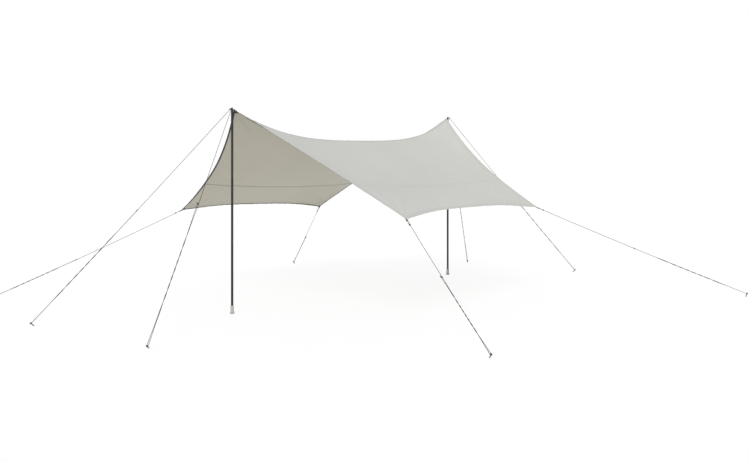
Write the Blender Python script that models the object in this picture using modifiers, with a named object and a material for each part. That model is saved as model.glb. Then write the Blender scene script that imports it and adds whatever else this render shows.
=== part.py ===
"""Hexagonal tarp: a six-cornered canopy on two poles, held out by eight guy ropes.

Metres, +Z up, the ground at z = 0. The origin is on the ground under the near pole, and the ridge
runs along +Y to the far pole. The pieces are modelled about the middle of the tarp, where their
parent empty stands. Everything below the ground is left out.
"""

import math

import bmesh
import bpy
import numpy as np
from mathutils import Matrix, Vector

# Where the tarp stands
POLE_Y = 2.09  # each pole's distance from the tarp's middle
POLE_HEIGHT = 2.40
RIDGE_END_Y = 2.066
RIDGE_END_HEIGHT = 2.376
RIDGE_MIDDLE_HEIGHT = 2.023
CORNER_X = 2.01
CORNER_Y = 1.34
CORNER_HEIGHTS = {"left_near": 1.07, "right_near": 1.16, "left_far": 0.98, "right_far": 1.155}

# How the canopy's edges sag between its six corners
RIDGE_POWER = 3.1
END_EDGE_CUT = 0.145  # the near and far edges are cut inwards
END_EDGE_DROOP = 0.03
END_POWER = 1.8
SIDE_EDGE_CUT = 0.126
SIDE_EDGE_RISE = 0.027
SIDE_POWER = 3.0

# Cloth and what is sewn to it
CLOTH = 0.0015
BINDING_WIDTH = 0.022
BINDING = 0.0015
RIDGE_TAPE_WIDTH = 0.036
RIDGE_TAPE = 0.0012
PATCH_SIZE = 0.26
PATCH = 0.0012
SEAM_FROM_RIDGE = 0.69  # share of the way from the ridge to the side edge
GAP = 0.0003
CELLS_ALONG = 14
CELLS_TO_SEAM = 6
CELLS_BELOW_SEAM = 2

# Poles
POLE_RADIUS = 0.014
SECTION_JOINTS = (0.82, 1.60)
SPIGOT_RADIUS = 0.0125
SPIGOT_LENGTH = 0.08
FOOT_RADIUS = 0.025
FOOT_HEIGHT = 0.095
FOOT_NECK = 0.019
FOOT_FLOOR = 0.010
PIN_RADIUS = 0.004
TURNS = 20  # sides of a turned piece

# Peak tabs, the webbing that takes the pins
TAB_WIDTH = 0.022
TAB = 0.0025
TAB_UNDERSIDE = 2.378
TAB_OUTER = 0.012
TAB_LENGTH = 0.055
TAB_HOLE = 0.006

# Corner loops
LOOP_WIDTH = 0.020
LOOP_BAR = 0.003
LOOP_SEWN = 0.024
LOOP_REACH = 0.012
LOOP_EYE = 0.0031
LOOP_WALL = 0.0016

# Guy ropes, sliders and pegs
ROPE_RADIUS = 0.0025
ROPE_SAG = 0.008
ROPE_LEVEL = 0.0066  # height of the second loop on a pin above the first
STRAND = 0.0032  # half the spacing of the two strands at a rope's knot
# how far down its rope each slider sits, as a share
POLE_SLIDERS = {
    "near_pole_left": 0.49,
    "near_pole_right": 0.445,
    "far_pole_left": 0.42,
    "far_pole_right": 0.42,
}
CORNER_SLIDERS = {"left_near": 0.57, "right_near": 0.435, "left_far": 0.50, "right_far": 0.455}
SLIDER_SIZE = (0.025, 0.011, 0.009)
SLIDER_HOLE = 0.0029
PEG_RADIUS = 0.005
PEG_HEAD_RADIUS = 0.011
PEG_HEAD = 0.010
PEG_NECK = 0.044  # from the ground to the head, along the peg
LOOP_RADIUS = PEG_RADIUS + GAP + ROPE_RADIUS
POLE_PEGS = {
    "near_pole_left": (-1.06, -3.96),
    "near_pole_right": (0.78, -3.75),
    "far_pole_left": (-0.61, 3.45),
    "far_pole_right": (1.265, 3.64),
}
CORNER_PEGS = {
    "left_near": (-2.985, -3.49),
    "right_near": (3.45, -1.90),
    "left_far": (-2.68, 1.44),
    "right_far": (4.07, 3.065),
}

UP = Vector((0, 0, 1))


def material(name, colour, roughness, metallic=0.0):
    """A plain surface of one colour."""
    made = bpy.data.materials.new(name)
    made.use_nodes = True
    shader = made.node_tree.nodes["Principled BSDF"]
    shader.inputs["Base Color"].default_value = (*colour, 1)
    shader.inputs["Roughness"].default_value = roughness
    shader.inputs["Metallic"].default_value = metallic
    return made


def clear_scene():
    for thing in list(bpy.data.objects):
        bpy.data.objects.remove(thing, do_unlink=True)


def collection(name, hidden=False):
    made = bpy.data.collections.new(name)
    made.hide_render = hidden
    bpy.context.scene.collection.children.link(made)
    return made


def middle_of_tarp():
    """The empty that carries every piece, on the ground under the middle of the ridge."""
    middle = bpy.data.objects.new("tarp_middle", None)
    middle.location = (0, POLE_Y, 0)
    PARTS.objects.link(middle)
    return middle


def place(name, data, finish, matrix=None):
    """An object of this mesh or curve in the tarp's collection, carried by the middle's empty."""
    thing = bpy.data.objects.new(name, data)
    data.materials.append(finish)
    thing.parent = MIDDLE
    if matrix:
        thing.matrix_basis = matrix
    PARTS.objects.link(thing)
    return thing


def cutter(name, mesh):
    thing = bpy.data.objects.new(name, mesh)
    thing.parent = MIDDLE
    thing.hide_render = True
    thing.display_type = "WIRE"
    CUTTERS.objects.link(thing)
    return thing


def cut(thing, tool):
    boolean = thing.modifiers.new("cut", "BOOLEAN")
    boolean.operation = "DIFFERENCE"
    boolean.object = tool


def frame_at(origin, x_axis, y_axis, z_axis):
    """The matrix that stands a piece at a point with these three directions."""
    turned = Matrix((x_axis, y_axis, z_axis)).transposed().to_4x4()
    return Matrix.Translation(origin) @ turned


# Canopy surface


def sagging(start, end, towards, cut_in, drop, power, t):
    """Points from start to end that bow towards a direction and down, most at the middle."""
    chord = end - start
    along = chord / np.linalg.norm(chord)
    inward = towards - towards.dot(along) * along
    inward /= np.linalg.norm(inward)
    bow = cut_in * inward - np.array((0, 0, drop))
    share = (1 - np.abs(2 * t - 1) ** power)[..., None]
    return start + chord * t[..., None] + share * bow


def corner(name):
    side, end = name.split("_")
    x = CORNER_X if side == "right" else -CORNER_X
    y = CORNER_Y if end == "far" else -CORNER_Y
    return np.array((x, y, CORNER_HEIGHTS[name]))


def canopy(side, u, v):
    """The surface of one half: u runs from the near end to the far one, v from the ridge to the side edge.

    It is the Coons patch between the sagging ridge, the two end edges and the side edge.
    """
    near_peak = np.array((0, -RIDGE_END_Y, RIDGE_END_HEIGHT))
    far_peak = np.array((0, RIDGE_END_Y, RIDGE_END_HEIGHT))
    middle = np.array((0, 0, RIDGE_MIDDLE_HEIGHT))
    near = corner(side + "_near")
    far = corner(side + "_far")
    ridge_sag = RIDGE_END_HEIGHT - RIDGE_MIDDLE_HEIGHT
    down = np.array((0, 0, -1.0))
    ridge = sagging(near_peak, far_peak, down, ridge_sag, 0, RIDGE_POWER, u)
    edge = sagging(near, far, middle - near, SIDE_EDGE_CUT, -SIDE_EDGE_RISE, SIDE_POWER, u)
    front = sagging(near_peak, near, middle - near_peak, END_EDGE_CUT, END_EDGE_DROOP, END_POWER, v)
    back = sagging(far_peak, far, middle - far_peak, END_EDGE_CUT, END_EDGE_DROOP, END_POWER, v)
    u = u[..., None]
    v = v[..., None]
    corners = (1 - u) * ((1 - v) * near_peak + v * near) + u * ((1 - v) * far_peak + v * far)
    return (1 - v) * ridge + v * edge + (1 - u) * front + u * back - corners


def between(first, last, cells):
    return np.linspace(first, last, cells + 1)[1:-1]


def lines_along(length):
    """Shares along the ridge's direction: the binding, the patch, the open cloth and the same again."""
    binding = BINDING_WIDTH / length
    patch = PATCH_SIZE / length
    middle = between(patch, 1 - patch, CELLS_ALONG)
    return np.concatenate(([0, binding, patch], middle, [1 - patch, 1 - binding, 1]))


def lines_across(length):
    """Shares from the ridge to the side edge: half the ridge tape, the patch, the seam, patch and binding."""
    tape = RIDGE_TAPE_WIDTH / 2 / length
    patch = PATCH_SIZE / length
    binding = BINDING_WIDTH / length
    upper = between(patch, SEAM_FROM_RIDGE, CELLS_TO_SEAM)
    lower = between(SEAM_FROM_RIDGE, 1 - patch, CELLS_BELOW_SEAM)
    start = [0, tape, patch]
    end = [1 - patch, 1 - binding, 1]
    return np.concatenate((start, upper, [SEAM_FROM_RIDGE], lower, end))


def half_grid(side):
    """The canopy's grid on one half, its lines a set distance from the edges."""
    ends = np.array((0.0, 1.0))
    rows = lines_along(2 * CORNER_Y)
    columns = lines_across(2.2)
    lengths = [np.linalg.norm(np.diff(canopy(side, ends, np.full(2, v)), axis=0)) for v in columns]
    u = np.array([lines_along(length) for length in lengths]).T
    lengths = [np.linalg.norm(np.diff(canopy(side, np.full(2, t), ends), axis=0)) for t in rows]
    v = np.array([lines_across(length) for length in lengths])
    return canopy(side, u, v)


def whole_grid():
    """Both halves as one grid, from the left edge over the ridge to the right edge."""
    left = half_grid("left")[:, ::-1]
    right = half_grid("right")
    return np.concatenate((left, right[:, 1:]), axis=1)


def cell_triangles(i, j):
    """A cell's two triangles, the first at the nearest corner of its half of the canopy."""
    rows, columns = GRID.shape[0] - 1, RIDGE_LINE
    near_row = i if i < rows / 2 else i + 1
    from_ridge = j - RIDGE_LINE if j >= RIDGE_LINE else RIDGE_LINE - 1 - j
    at_ridge = from_ridge < columns / 2
    right = j >= RIDGE_LINE
    near_column = j if at_ridge == right else j + 1
    far_row = 2 * i + 1 - near_row
    far_column = 2 * j + 1 - near_column
    first = [(near_row, near_column), (far_row, near_column), (near_row, far_column)]
    second = [(far_row, far_column), (far_row, near_column), (near_row, far_column)]
    return first, second


def slab(name, triangles, top, thickness, finish, points=None):
    """A sheet of even height made of the grid's triangles, its top this far above the canopy surface."""
    points = GRID if points is None else points
    mesh = bmesh.new()
    made = {}
    for triangle in triangles:
        for place_on_grid in triangle:
            if place_on_grid not in made:
                x, y, z = points[place_on_grid]
                made[place_on_grid] = mesh.verts.new((x, y, z + top))
        mesh.faces.new([made[place_on_grid] for place_on_grid in triangle])
    bmesh.ops.recalc_face_normals(mesh, faces=mesh.faces)
    lower = bmesh.ops.extrude_face_region(mesh, geom=mesh.faces[:])["geom"]
    lower_points = [item for item in lower if isinstance(item, bmesh.types.BMVert)]
    bmesh.ops.translate(mesh, verts=lower_points, vec=(0, 0, -thickness))
    bmesh.ops.recalc_face_normals(mesh, faces=mesh.faces)
    data = bpy.data.meshes.new(name)
    mesh.to_mesh(data)
    mesh.free()
    return place(name, data, finish)


def both(cells):
    return [triangle for cell in cells for triangle in cell_triangles(*cell)]


def pulled_back(points, line, neighbour):
    """Moves one line of the grid half a gap towards its neighbour, where two panels meet."""
    step = points[:, neighbour] - points[:, line]
    step /= np.linalg.norm(step, axis=1)[:, None]
    points[:, line] += step * GAP * 0.65


def panel(name, first, last):
    """One width of cloth between two lines of the grid."""
    points = GRID.copy()
    if first > 0:
        pulled_back(points, first, first + 1)
    if last < GRID.shape[1] - 1:
        pulled_back(points, last, last - 1)
    cells = [(i, j) for i in range(GRID.shape[0] - 1) for j in range(first, last)]
    slab(name, both(cells), 0, CLOTH, CLOTH_FINISH, points)


def make_panels():
    last = GRID.shape[1] - 1
    panel("left_lower_panel", 0, last - SEAM_LINE)
    panel("left_upper_panel", last - SEAM_LINE, RIDGE_LINE)
    panel("right_upper_panel", RIDGE_LINE, SEAM_LINE)
    panel("right_lower_panel", SEAM_LINE, last)


def make_binding():
    """The binding follows all six edges as one ring under the cloth."""
    rows, columns = GRID.shape[0] - 1, GRID.shape[1] - 1
    cells = [
        (i, j)
        for i in range(rows)
        for j in range(columns)
        if i in (0, rows - 1) or j in (0, columns - 1)
    ]
    top = -CLOTH - GAP - PATCH - GAP
    slab("edge_binding", both(cells), top, BINDING, BINDING_FINISH)


def make_ridge_tape():
    cells = [(i, j) for i in range(GRID.shape[0] - 1) for j in (RIDGE_LINE - 1, RIDGE_LINE)]
    slab("ridge_tape", both(cells), GAP + RIDGE_TAPE, RIDGE_TAPE, CLOTH_FINISH)


def corner_triangles(row, row_step, column, column_step):
    """A triangular patch at a corner of a half: three whole cells and the nearer half of the fourth."""
    near = [(row, column), (row + row_step, column), (row, column + column_step)]
    inner = cell_triangles(row + row_step, column + column_step)[0]
    return both(near) + [inner]


def make_patches():
    """Reinforcing patches under the cloth, at the two peaks and the four side corners."""
    rows, columns = GRID.shape[0] - 1, GRID.shape[1] - 1
    top = -CLOTH - GAP
    for end, row, step in (("near", 0, 1), ("far", rows - 1, -1)):
        right = corner_triangles(row, step, RIDGE_LINE, 1)
        left = corner_triangles(row, step, RIDGE_LINE - 1, -1)
        slab(end + "_peak_patch", left + right, top, PATCH, PATCH_FINISH)
        slab("left_" + end + "_patch", corner_triangles(row, step, 0, 1), top, PATCH, PATCH_FINISH)
        outer = corner_triangles(row, step, columns - 1, -1)
        slab("right_" + end + "_patch", outer, top, PATCH, PATCH_FINISH)


# Poles


def turned(name, profile, finish, matrix=None):
    """A turned piece: its profile of radius and height runs from the top down its outer side."""
    data = bpy.data.meshes.new(name)
    points = [(radius, 0, height) for radius, height in profile]
    data.from_pydata(points, [(i, i + 1) for i in range(len(points) - 1)], [])
    thing = place(name, data, finish, matrix)
    screw = thing.modifiers.new("turned", "SCREW")
    screw.steps = TURNS
    screw.render_steps = TURNS
    screw.use_merge_vertices = True
    screw.merge_threshold = 0.00001
    return thing


def section_profile(bottom, top, spigot, socket):
    """A pole section: a spigot on its top and a socket in its foot, where it has them."""
    profile = [(0, top)]
    if spigot:
        profile = [(0, top + SPIGOT_LENGTH), (SPIGOT_RADIUS, top + SPIGOT_LENGTH), (SPIGOT_RADIUS, top)]
    profile += [(POLE_RADIUS, top), (POLE_RADIUS, bottom)]
    if socket:
        bore = SPIGOT_RADIUS + GAP
        depth = bottom + SPIGOT_LENGTH + GAP
        profile += [(bore, bottom), (bore, depth), (0, depth)]
    else:
        profile += [(0, bottom)]
    return profile


def make_pole(end, y):
    foot = Matrix.Translation((0, y, 0))
    low, high = SECTION_JOINTS
    cap_top = TAB_UNDERSIDE - GAP
    cap_bottom = cap_top - 0.030
    turned(
        end + "_pole_foot",
        [
            (0, FOOT_FLOOR),
            (POLE_RADIUS + GAP, FOOT_FLOOR),
            (POLE_RADIUS + GAP, FOOT_HEIGHT),
            (FOOT_NECK, FOOT_HEIGHT),
            (FOOT_NECK + 0.001, 0.030),
            (FOOT_RADIUS, 0.022),
            (FOOT_RADIUS, 0.003),
            (FOOT_RADIUS - 0.003, 0),
            (0, 0),
        ],
        RUBBER_FINISH,
        foot,
    )
    bottom = FOOT_FLOOR + GAP
    lower = section_profile(bottom, low, True, False)
    middle = section_profile(low + GAP, high, True, True)
    upper = section_profile(high + GAP, cap_bottom - GAP, False, True)
    turned(end + "_pole_lower_section", lower, POLE_FINISH, foot)
    turned(end + "_pole_middle_section", middle, POLE_FINISH, foot)
    turned(end + "_pole_upper_section", upper, POLE_FINISH, foot)
    turned(
        end + "_pole_pin",
        [
            (0, POLE_HEIGHT),
            (PIN_RADIUS - 0.0015, POLE_HEIGHT),
            (PIN_RADIUS, POLE_HEIGHT - 0.002),
            (PIN_RADIUS, cap_top),
            (POLE_RADIUS - 0.004, cap_top),
            (POLE_RADIUS, cap_top - 0.004),
            (POLE_RADIUS, cap_bottom),
            (0, cap_bottom),
        ],
        STEEL_FINISH,
        foot,
    )


def make_peak_tab(end, outward):
    """A strip of webbing on the ridge: flat round the pin, then down along the ridge over the tape."""
    pole = outward * POLE_Y
    ridge_row = GRID[:, RIDGE_LINE]
    if outward > 0:
        ridge_row = ridge_row[::-1]
    slope = (ridge_row[0, 2] - ridge_row[2, 2]) / abs(ridge_row[0, 1] - ridge_row[2, 1])
    run = TAB_LENGTH / math.hypot(1, slope)
    tape_top = RIDGE_END_HEIGHT + GAP + RIDGE_TAPE
    kink = POLE_Y - RIDGE_END_Y - (TAB_UNDERSIDE - tape_top - GAP) / slope
    side = [
        (-TAB_OUTER, TAB_UNDERSIDE),
        (kink, TAB_UNDERSIDE),
        (kink + run, TAB_UNDERSIDE - run * slope),
        (kink + run, TAB_UNDERSIDE - run * slope + TAB * math.hypot(1, slope)),
        (kink + TAB * slope / 2, TAB_UNDERSIDE + TAB),
        (-TAB_OUTER, TAB_UNDERSIDE + TAB),
    ]
    mesh = bmesh.new()
    points = [mesh.verts.new((-TAB_WIDTH / 2, pole - outward * y, z)) for y, z in side]
    mesh.faces.new(points)
    grown = bmesh.ops.extrude_face_region(mesh, geom=mesh.faces[:])["geom"]
    moved = [item for item in grown if isinstance(item, bmesh.types.BMVert)]
    bmesh.ops.translate(mesh, verts=moved, vec=(TAB_WIDTH, 0, 0))
    bmesh.ops.recalc_face_normals(mesh, faces=mesh.faces)
    data = bpy.data.meshes.new(end + "_peak_tab")
    mesh.to_mesh(data)
    mesh.free()
    tab = place(end + "_peak_tab", data, BINDING_FINISH)
    hole = bmesh.new()
    centre = Matrix.Translation((0, pole, TAB_UNDERSIDE))
    bmesh.ops.create_cone(
        hole, cap_ends=True, segments=TURNS, radius1=TAB_HOLE, radius2=TAB_HOLE, depth=0.02, matrix=centre
    )
    data = bpy.data.meshes.new(end + "_pin_hole")
    hole.to_mesh(data)
    hole.free()
    cut(tab, cutter(end + "_pin_hole", data))


# Guy ropes


def smooth(points, per_span=4):
    """A Catmull-Rom curve through the points."""
    points = [Vector(point) for point in points]
    padded = [2 * points[0] - points[1], *points, 2 * points[-1] - points[-2]]
    curve = []
    for a, b, c, d in zip(padded, padded[1:], padded[2:], padded[3:]):
        for step in range(per_span):
            t = step / per_span
            curve.append(
                b
                + (c - a) * (t / 2)
                + (2 * a - 5 * b + 4 * c - d) * (t * t / 2)
                + (3 * b - a - 3 * c + d) * (t * t * t / 2)
            )
    curve.append(points[-1])
    return curve


def tube(name, points, radius, finish):
    data = bpy.data.curves.new(name, "CURVE")
    data.dimensions = "3D"
    data.bevel_depth = radius
    data.bevel_resolution = 2
    data.use_fill_caps = True
    spline = data.splines.new("POLY")
    spline.points.add(len(points) - 1)
    for spot, point in zip(spline.points, points):
        spot.co = (*point, 1)
    return place(name, data, finish)


def plate(name, outlines, depth, finish, matrix):
    """A flat outline, with holes, made thick along its own Z."""
    data = bpy.data.curves.new(name, "CURVE")
    data.dimensions = "2D"
    data.fill_mode = "BOTH"
    data.extrude = depth / 2
    for outline in outlines:
        spline = data.splines.new("POLY")
        spline.use_cyclic_u = True
        spline.points.add(len(outline) - 1)
        for spot, (x, y) in zip(spline.points, outline):
            spot.co = (x, y, 0, 1)
    return place(name, data, finish, matrix)


def circle(x, y, radius, count=12):
    turns = [2 * math.pi * i / count for i in range(count)]
    return [(x + radius * math.cos(turn), y + radius * math.sin(turn)) for turn in turns]


def rounded_box(width, height, radius, count=3):
    """A rectangle about the origin with rounded corners."""
    outline = []
    for quarter, (sx, sy) in enumerate(((1, 1), (-1, 1), (-1, -1), (1, -1))):
        for step in range(count + 1):
            turn = math.pi / 2 * (quarter + step / count)
            x = sx * (width / 2 - radius) + radius * math.cos(turn)
            y = sy * (height / 2 - radius) + radius * math.sin(turn)
            outline.append((x, y))
    return outline


class Guy:
    """The line of one guy rope, from where it leaves its top fitting to its peg."""

    def __init__(self, name, start, peg, slider_at):
        self.name = name
        self.start = Vector(start)
        ground = Vector((*peg, 0))
        away = (ground - self.start).normalized()
        lean = self.leaning(away)
        self.peg_eye = ground + lean * (PEG_NECK - GAP - ROPE_RADIUS)
        self.down = (self.peg_eye - self.start).normalized()
        self.lean = self.leaning(self.down)
        self.side = self.lean.cross(self.down)
        self.length = (self.peg_eye - self.start).length
        self.slider = self.start + self.down * (self.length * slider_at)

    def leaning(self, down):
        """The upward direction square to the rope, in its own vertical plane."""
        return (UP - UP.dot(down) * down).normalized()

    def lower_run(self):
        """Down through the slider, round the peg's neck and back up to the slider."""
        side = self.side * LOOP_RADIUS
        points = []
        for step in range(1, 8):
            t = step / 8
            sag = UP * (-4 * ROPE_SAG * t * (1 - t))
            edge = self.side * (STRAND + (LOOP_RADIUS - STRAND) * t)
            points.append(self.start.lerp(self.slider, t) + edge + sag)
        points.append(self.slider - self.down * 0.012 + side)
        points.append(self.slider + self.down * 0.012 + side)
        points.append(self.peg_eye - self.down * 0.02 + side)
        for step in range(9):
            turn = math.pi * step / 8
            points.append(self.peg_eye + side * math.cos(turn) + self.down * (LOOP_RADIUS * math.sin(turn)))
        points.append(self.peg_eye - self.down * 0.02 - side)
        points.append(self.slider + self.down * 0.012 - side)
        points.append(self.slider - self.down * 0.020 - side)
        return points


def pole_guy(name, y, peg, level):
    """A rope looped round the pole's pin, the second loop lying on the first."""
    pin_loop = PIN_RADIUS + GAP + ROPE_RADIUS
    height = TAB_UNDERSIDE + TAB + GAP + ROPE_RADIUS + level * ROPE_LEVEL
    pin = Vector((0, y, height))
    outward = (Vector((*peg, height)) - pin).normalized()
    guy = Guy(name, pin + outward * 0.018, peg, POLE_SLIDERS[name])
    side = guy.side
    loop = [guy.start + guy.down * 0.016 - side * STRAND, guy.start - side * (STRAND + 0.0004)]
    for step in range(9):
        turn = math.pi * step / 8
        loop.append(pin - pin_loop * (side * math.cos(turn) + outward * math.sin(turn)))
    loop.append(guy.start + side * (STRAND + 0.0004))
    tube(name + "_guy_rope", smooth(loop, 2) + guy.lower_run(), ROPE_RADIUS, ROPE_FINISH)
    return guy


def corner_guy(name, peg):
    """A webbing loop sewn under a side corner, and the rope tied through its eye."""
    point = corner(name)
    row = 0 if name.endswith("near") else GRID.shape[0] - 1
    row_inside = 1 if row == 0 else row - 1
    column = 0 if name.startswith("left") else GRID.shape[1] - 1
    column_inside = 1 if column == 0 else column - 1
    along = Vector(GRID[row, column_inside] - point)
    across = Vector(GRID[row_inside, column] - point)
    normal = along.cross(across).normalized()
    if normal.z < 0:
        normal = -normal
    tip = Vector(point)
    down = (Vector((*peg, 0)) - tip).normalized()
    side = down.cross(normal).normalized()
    flat = normal.cross(side).normalized()
    bend = math.atan2(-down.dot(normal), down.dot(flat))
    under = -(CLOTH + PATCH + BINDING + 2 * GAP) * normal.z - GAP
    turn_x, turn_y = math.cos(bend), -math.sin(bend)
    kink = (0.004, under - LOOP_BAR / 2)
    eye = (kink[0] + turn_x * LOOP_REACH, kink[1] + turn_y * LOOP_REACH)
    half = LOOP_BAR / 2
    ring = LOOP_EYE + LOOP_WALL
    outline = [(kink[0] + turn_y * half, kink[1] - turn_x * half)]
    outline += [(-LOOP_SEWN, under - LOOP_BAR), (-LOOP_SEWN, under)]
    outline.append((kink[0] - turn_y * half, kink[1] + turn_x * half))
    opening = math.asin(half / ring)
    for step in range(13):
        turn = math.pi - opening - (2 * math.pi - 2 * opening) * step / 12 - bend
        outline.append((eye[0] + ring * math.cos(turn), eye[1] + ring * math.sin(turn)))
    matrix = frame_at(tip, flat, normal, flat.cross(normal))
    plate(name + "_corner_loop", [outline, circle(*eye, LOOP_EYE)], LOOP_WIDTH, BINDING_FINISH, matrix)
    centre = matrix @ Vector((*eye, 0))
    guy = Guy(name + "_corner", centre + down * 0.055, peg, CORNER_SLIDERS[name])
    eye_side = -side if side.dot(guy.side) < 0 else side
    side = guy.side
    away = guy.down
    reach = LOOP_WIDTH / 2 + 0.0015
    loop = [
        centre + away * 0.075 - side * STRAND,
        centre + away * 0.050 - side * STRAND,
        centre + away * 0.030 - (side + eye_side) * 0.003,
        centre + away * 0.012 - eye_side * 0.0135,
        centre + away * 0.003 - eye_side * 0.0145,
        centre - eye_side * reach,
        centre,
        centre + eye_side * reach,
        centre + away * 0.003 + eye_side * 0.0145,
        centre + away * 0.012 + eye_side * 0.0135,
        centre + away * 0.030 + (side + eye_side) * 0.003,
        centre + away * 0.050 + side * STRAND,
    ]
    tube(guy.name + "_guy_rope", smooth(loop, 2) + guy.lower_run(), ROPE_RADIUS, ROPE_FINISH)
    return guy


def make_slider(guy):
    """A bar across the rope with a hole for each strand."""
    width, height, depth = SLIDER_SIZE
    outlines = [
        rounded_box(width, height, 0.003),
        circle(LOOP_RADIUS, 0, SLIDER_HOLE),
        circle(-LOOP_RADIUS, 0, SLIDER_HOLE),
    ]
    matrix = frame_at(guy.slider, guy.side, guy.lean, guy.side.cross(guy.lean))
    plate(guy.name + "_slider", outlines, depth, SLIDER_FINISH, matrix)


def make_peg(guy, ground):
    """The part of a peg above the ground: a round shaft with a broad head, square to its rope."""
    top = PEG_NECK + PEG_HEAD
    profile = [
        (0, top),
        (PEG_HEAD_RADIUS - 0.003, top),
        (PEG_HEAD_RADIUS, top - 0.003),
        (PEG_HEAD_RADIUS, PEG_NECK + 0.002),
        (PEG_HEAD_RADIUS - 0.002, PEG_NECK),
        (PEG_RADIUS, PEG_NECK),
        (PEG_RADIUS, -0.02),
        (0, -0.02),
    ]
    foot = guy.peg_eye - guy.lean * (PEG_NECK - GAP - ROPE_RADIUS)
    matrix = frame_at(foot, guy.side, guy.lean.cross(guy.side), guy.lean)
    cut(turned(guy.name + "_peg", profile, STEEL_FINISH, matrix), ground)


def make_ground_cutter():
    """A block that takes away what is below the ground."""
    mesh = bmesh.new()
    matrix = Matrix.Translation((0, 0, -0.1)) @ Matrix.Diagonal((12, 12, 0.2, 1))
    bmesh.ops.create_cube(mesh, size=1, matrix=matrix)
    data = bpy.data.meshes.new("below_ground")
    mesh.to_mesh(data)
    mesh.free()
    return cutter("below_ground", data)


def make_guys():
    ground = make_ground_cutter()
    guys = []
    for name, peg in POLE_PEGS.items():
        y = POLE_Y if name.startswith("far") else -POLE_Y
        level = 1 if name.endswith("right") else 0
        guys.append(pole_guy(name, y, peg, level))
    guys += [corner_guy(name, peg) for name, peg in CORNER_PEGS.items()]
    for guy in guys:
        make_slider(guy)
        make_peg(guy, ground)


clear_scene()
PARTS = collection("hexagonal_tarp")
CUTTERS = collection("cutters", hidden=True)
MIDDLE = middle_of_tarp()
CLOTH_FINISH = material("beige_cloth", (0.60, 0.58, 0.50), 0.75)
PATCH_FINISH = material("patch_cloth", (0.50, 0.48, 0.41), 0.75)
BINDING_FINISH = material("black_webbing", (0.02, 0.02, 0.02), 0.7)
POLE_FINISH = material("dark_steel_tube", (0.03, 0.03, 0.028), 0.4, 0.6)
STEEL_FINISH = material("steel", (0.35, 0.35, 0.34), 0.35, 1.0)
RUBBER_FINISH = material("grey_rubber", (0.40, 0.40, 0.38), 0.8)
ROPE_FINISH = material("grey_rope", (0.13, 0.12, 0.11), 0.85)
SLIDER_FINISH = material("black_slider", (0.03, 0.03, 0.03), 0.5)
GRID = whole_grid()
RIDGE_LINE = GRID.shape[1] // 2
SEAM_LINE = RIDGE_LINE + 2 + CELLS_TO_SEAM

make_panels()
make_binding()
make_ridge_tape()
make_patches()
for pole_end, direction in (("near", -1), ("far", 1)):
    make_pole(pole_end, direction * POLE_Y)
    make_peak_tab(pole_end, direction)
make_guys()
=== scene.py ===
"""Hexagonal tarp: the looks around the packed solids.

A six-cornered canopy hangs between two poles, and eight guy ropes hold it out. Each surface is
worked out with numpy, on a grid of two shares or as a section carried along a path, in metres about
the tarp's middle, and then moved to the row frame: +Z up, the ridge along +Y, the origin on the
ground under the near pole. The sizes that place a piece are those of the solids.
"""

import math
from functools import reduce

import bmesh
import bpy
import numpy as np
from bpy.props import FloatProperty, FloatVectorProperty, PointerProperty
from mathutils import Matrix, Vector


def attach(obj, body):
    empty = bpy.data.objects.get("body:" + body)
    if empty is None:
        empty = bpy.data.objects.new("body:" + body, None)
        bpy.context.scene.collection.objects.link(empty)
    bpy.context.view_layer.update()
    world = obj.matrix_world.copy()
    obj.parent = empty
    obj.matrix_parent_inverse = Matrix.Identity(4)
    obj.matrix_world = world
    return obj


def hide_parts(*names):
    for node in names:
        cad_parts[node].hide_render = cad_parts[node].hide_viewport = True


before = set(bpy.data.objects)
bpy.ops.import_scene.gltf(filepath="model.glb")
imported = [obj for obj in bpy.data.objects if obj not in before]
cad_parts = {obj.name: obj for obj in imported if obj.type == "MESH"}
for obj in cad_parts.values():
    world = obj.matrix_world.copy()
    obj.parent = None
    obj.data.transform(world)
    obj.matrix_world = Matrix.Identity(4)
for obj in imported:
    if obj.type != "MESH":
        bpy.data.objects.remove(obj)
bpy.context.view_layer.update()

bl_info = {
    "name": "Hexagonal Tarp",
    "version": (1, 0, 0),
    "blender": (4, 5, 0),
    "location": "View3D > Sidebar > Tarp",
    "description": "Builds a hexagonal tarp with its poles, guy ropes and pegs",
    "category": "Add Mesh",
}

# Where the tarp stands
POLE_Y = 2.09
MIDDLE = (0.0, POLE_Y, 0.0)
POLE_HEIGHT = 2.40
RIDGE_END_Y = 2.066
RIDGE_END_HEIGHT = 2.376
RIDGE_MIDDLE_HEIGHT = 2.023
CORNER_X = 2.01
CORNER_Y = 1.34
CORNER_HEIGHTS = {"left_near": 1.07, "right_near": 1.16, "left_far": 0.98, "right_far": 1.155}
CORNERS = tuple(CORNER_HEIGHTS)

# How the canopy's edges sag between its six corners
RIDGE_POWERS = (2.75, 3.6)  # of its near and its far half
END_EDGE_CUTS = {"left_near": 0.131, "right_near": 0.145, "left_far": 0.128, "right_far": 0.145}
END_POWERS = {"left_near": 1.8, "right_near": 1.55, "left_far": 1.8, "right_far": 1.8}
END_EDGE_DROOP = 0.03
SIDE_EDGE_CUT = 0.126
SIDE_EDGE_RISE = 0.027
SIDE_POWER = 3.0
HEM_HANG = {"left": 0.009, "right": 0.015}
HEM_HANG_WIDTH = 0.08
CORNER_PULL = 0.25  # how far from a corner its pull keeps the cloth straight

# Waves of the cloth as (wavelength, share, phase), and how far from a line they reach
HEM_WAVES = ((0.093, 0.5, 0.4), (0.137, 0.7, 1.9), (0.31, 0.5, 0.2))
HEM_WAVE_REACH = 0.085
SEAM_WAVES = ((0.101, 0.5, 0.0), (0.163, 0.6, 2.2), (0.47, 0.4, 1.0))
SEAM_WAVE_REACH = 0.05
RIDGE_WAVE_REACH = 0.06
SLACK_WAVES = ((1.45, 0.6, 0.5), (0.83, 0.3, 2.0))
SLACK_FROM_EDGE = 0.3
FAN_REACH = 0.34

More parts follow.
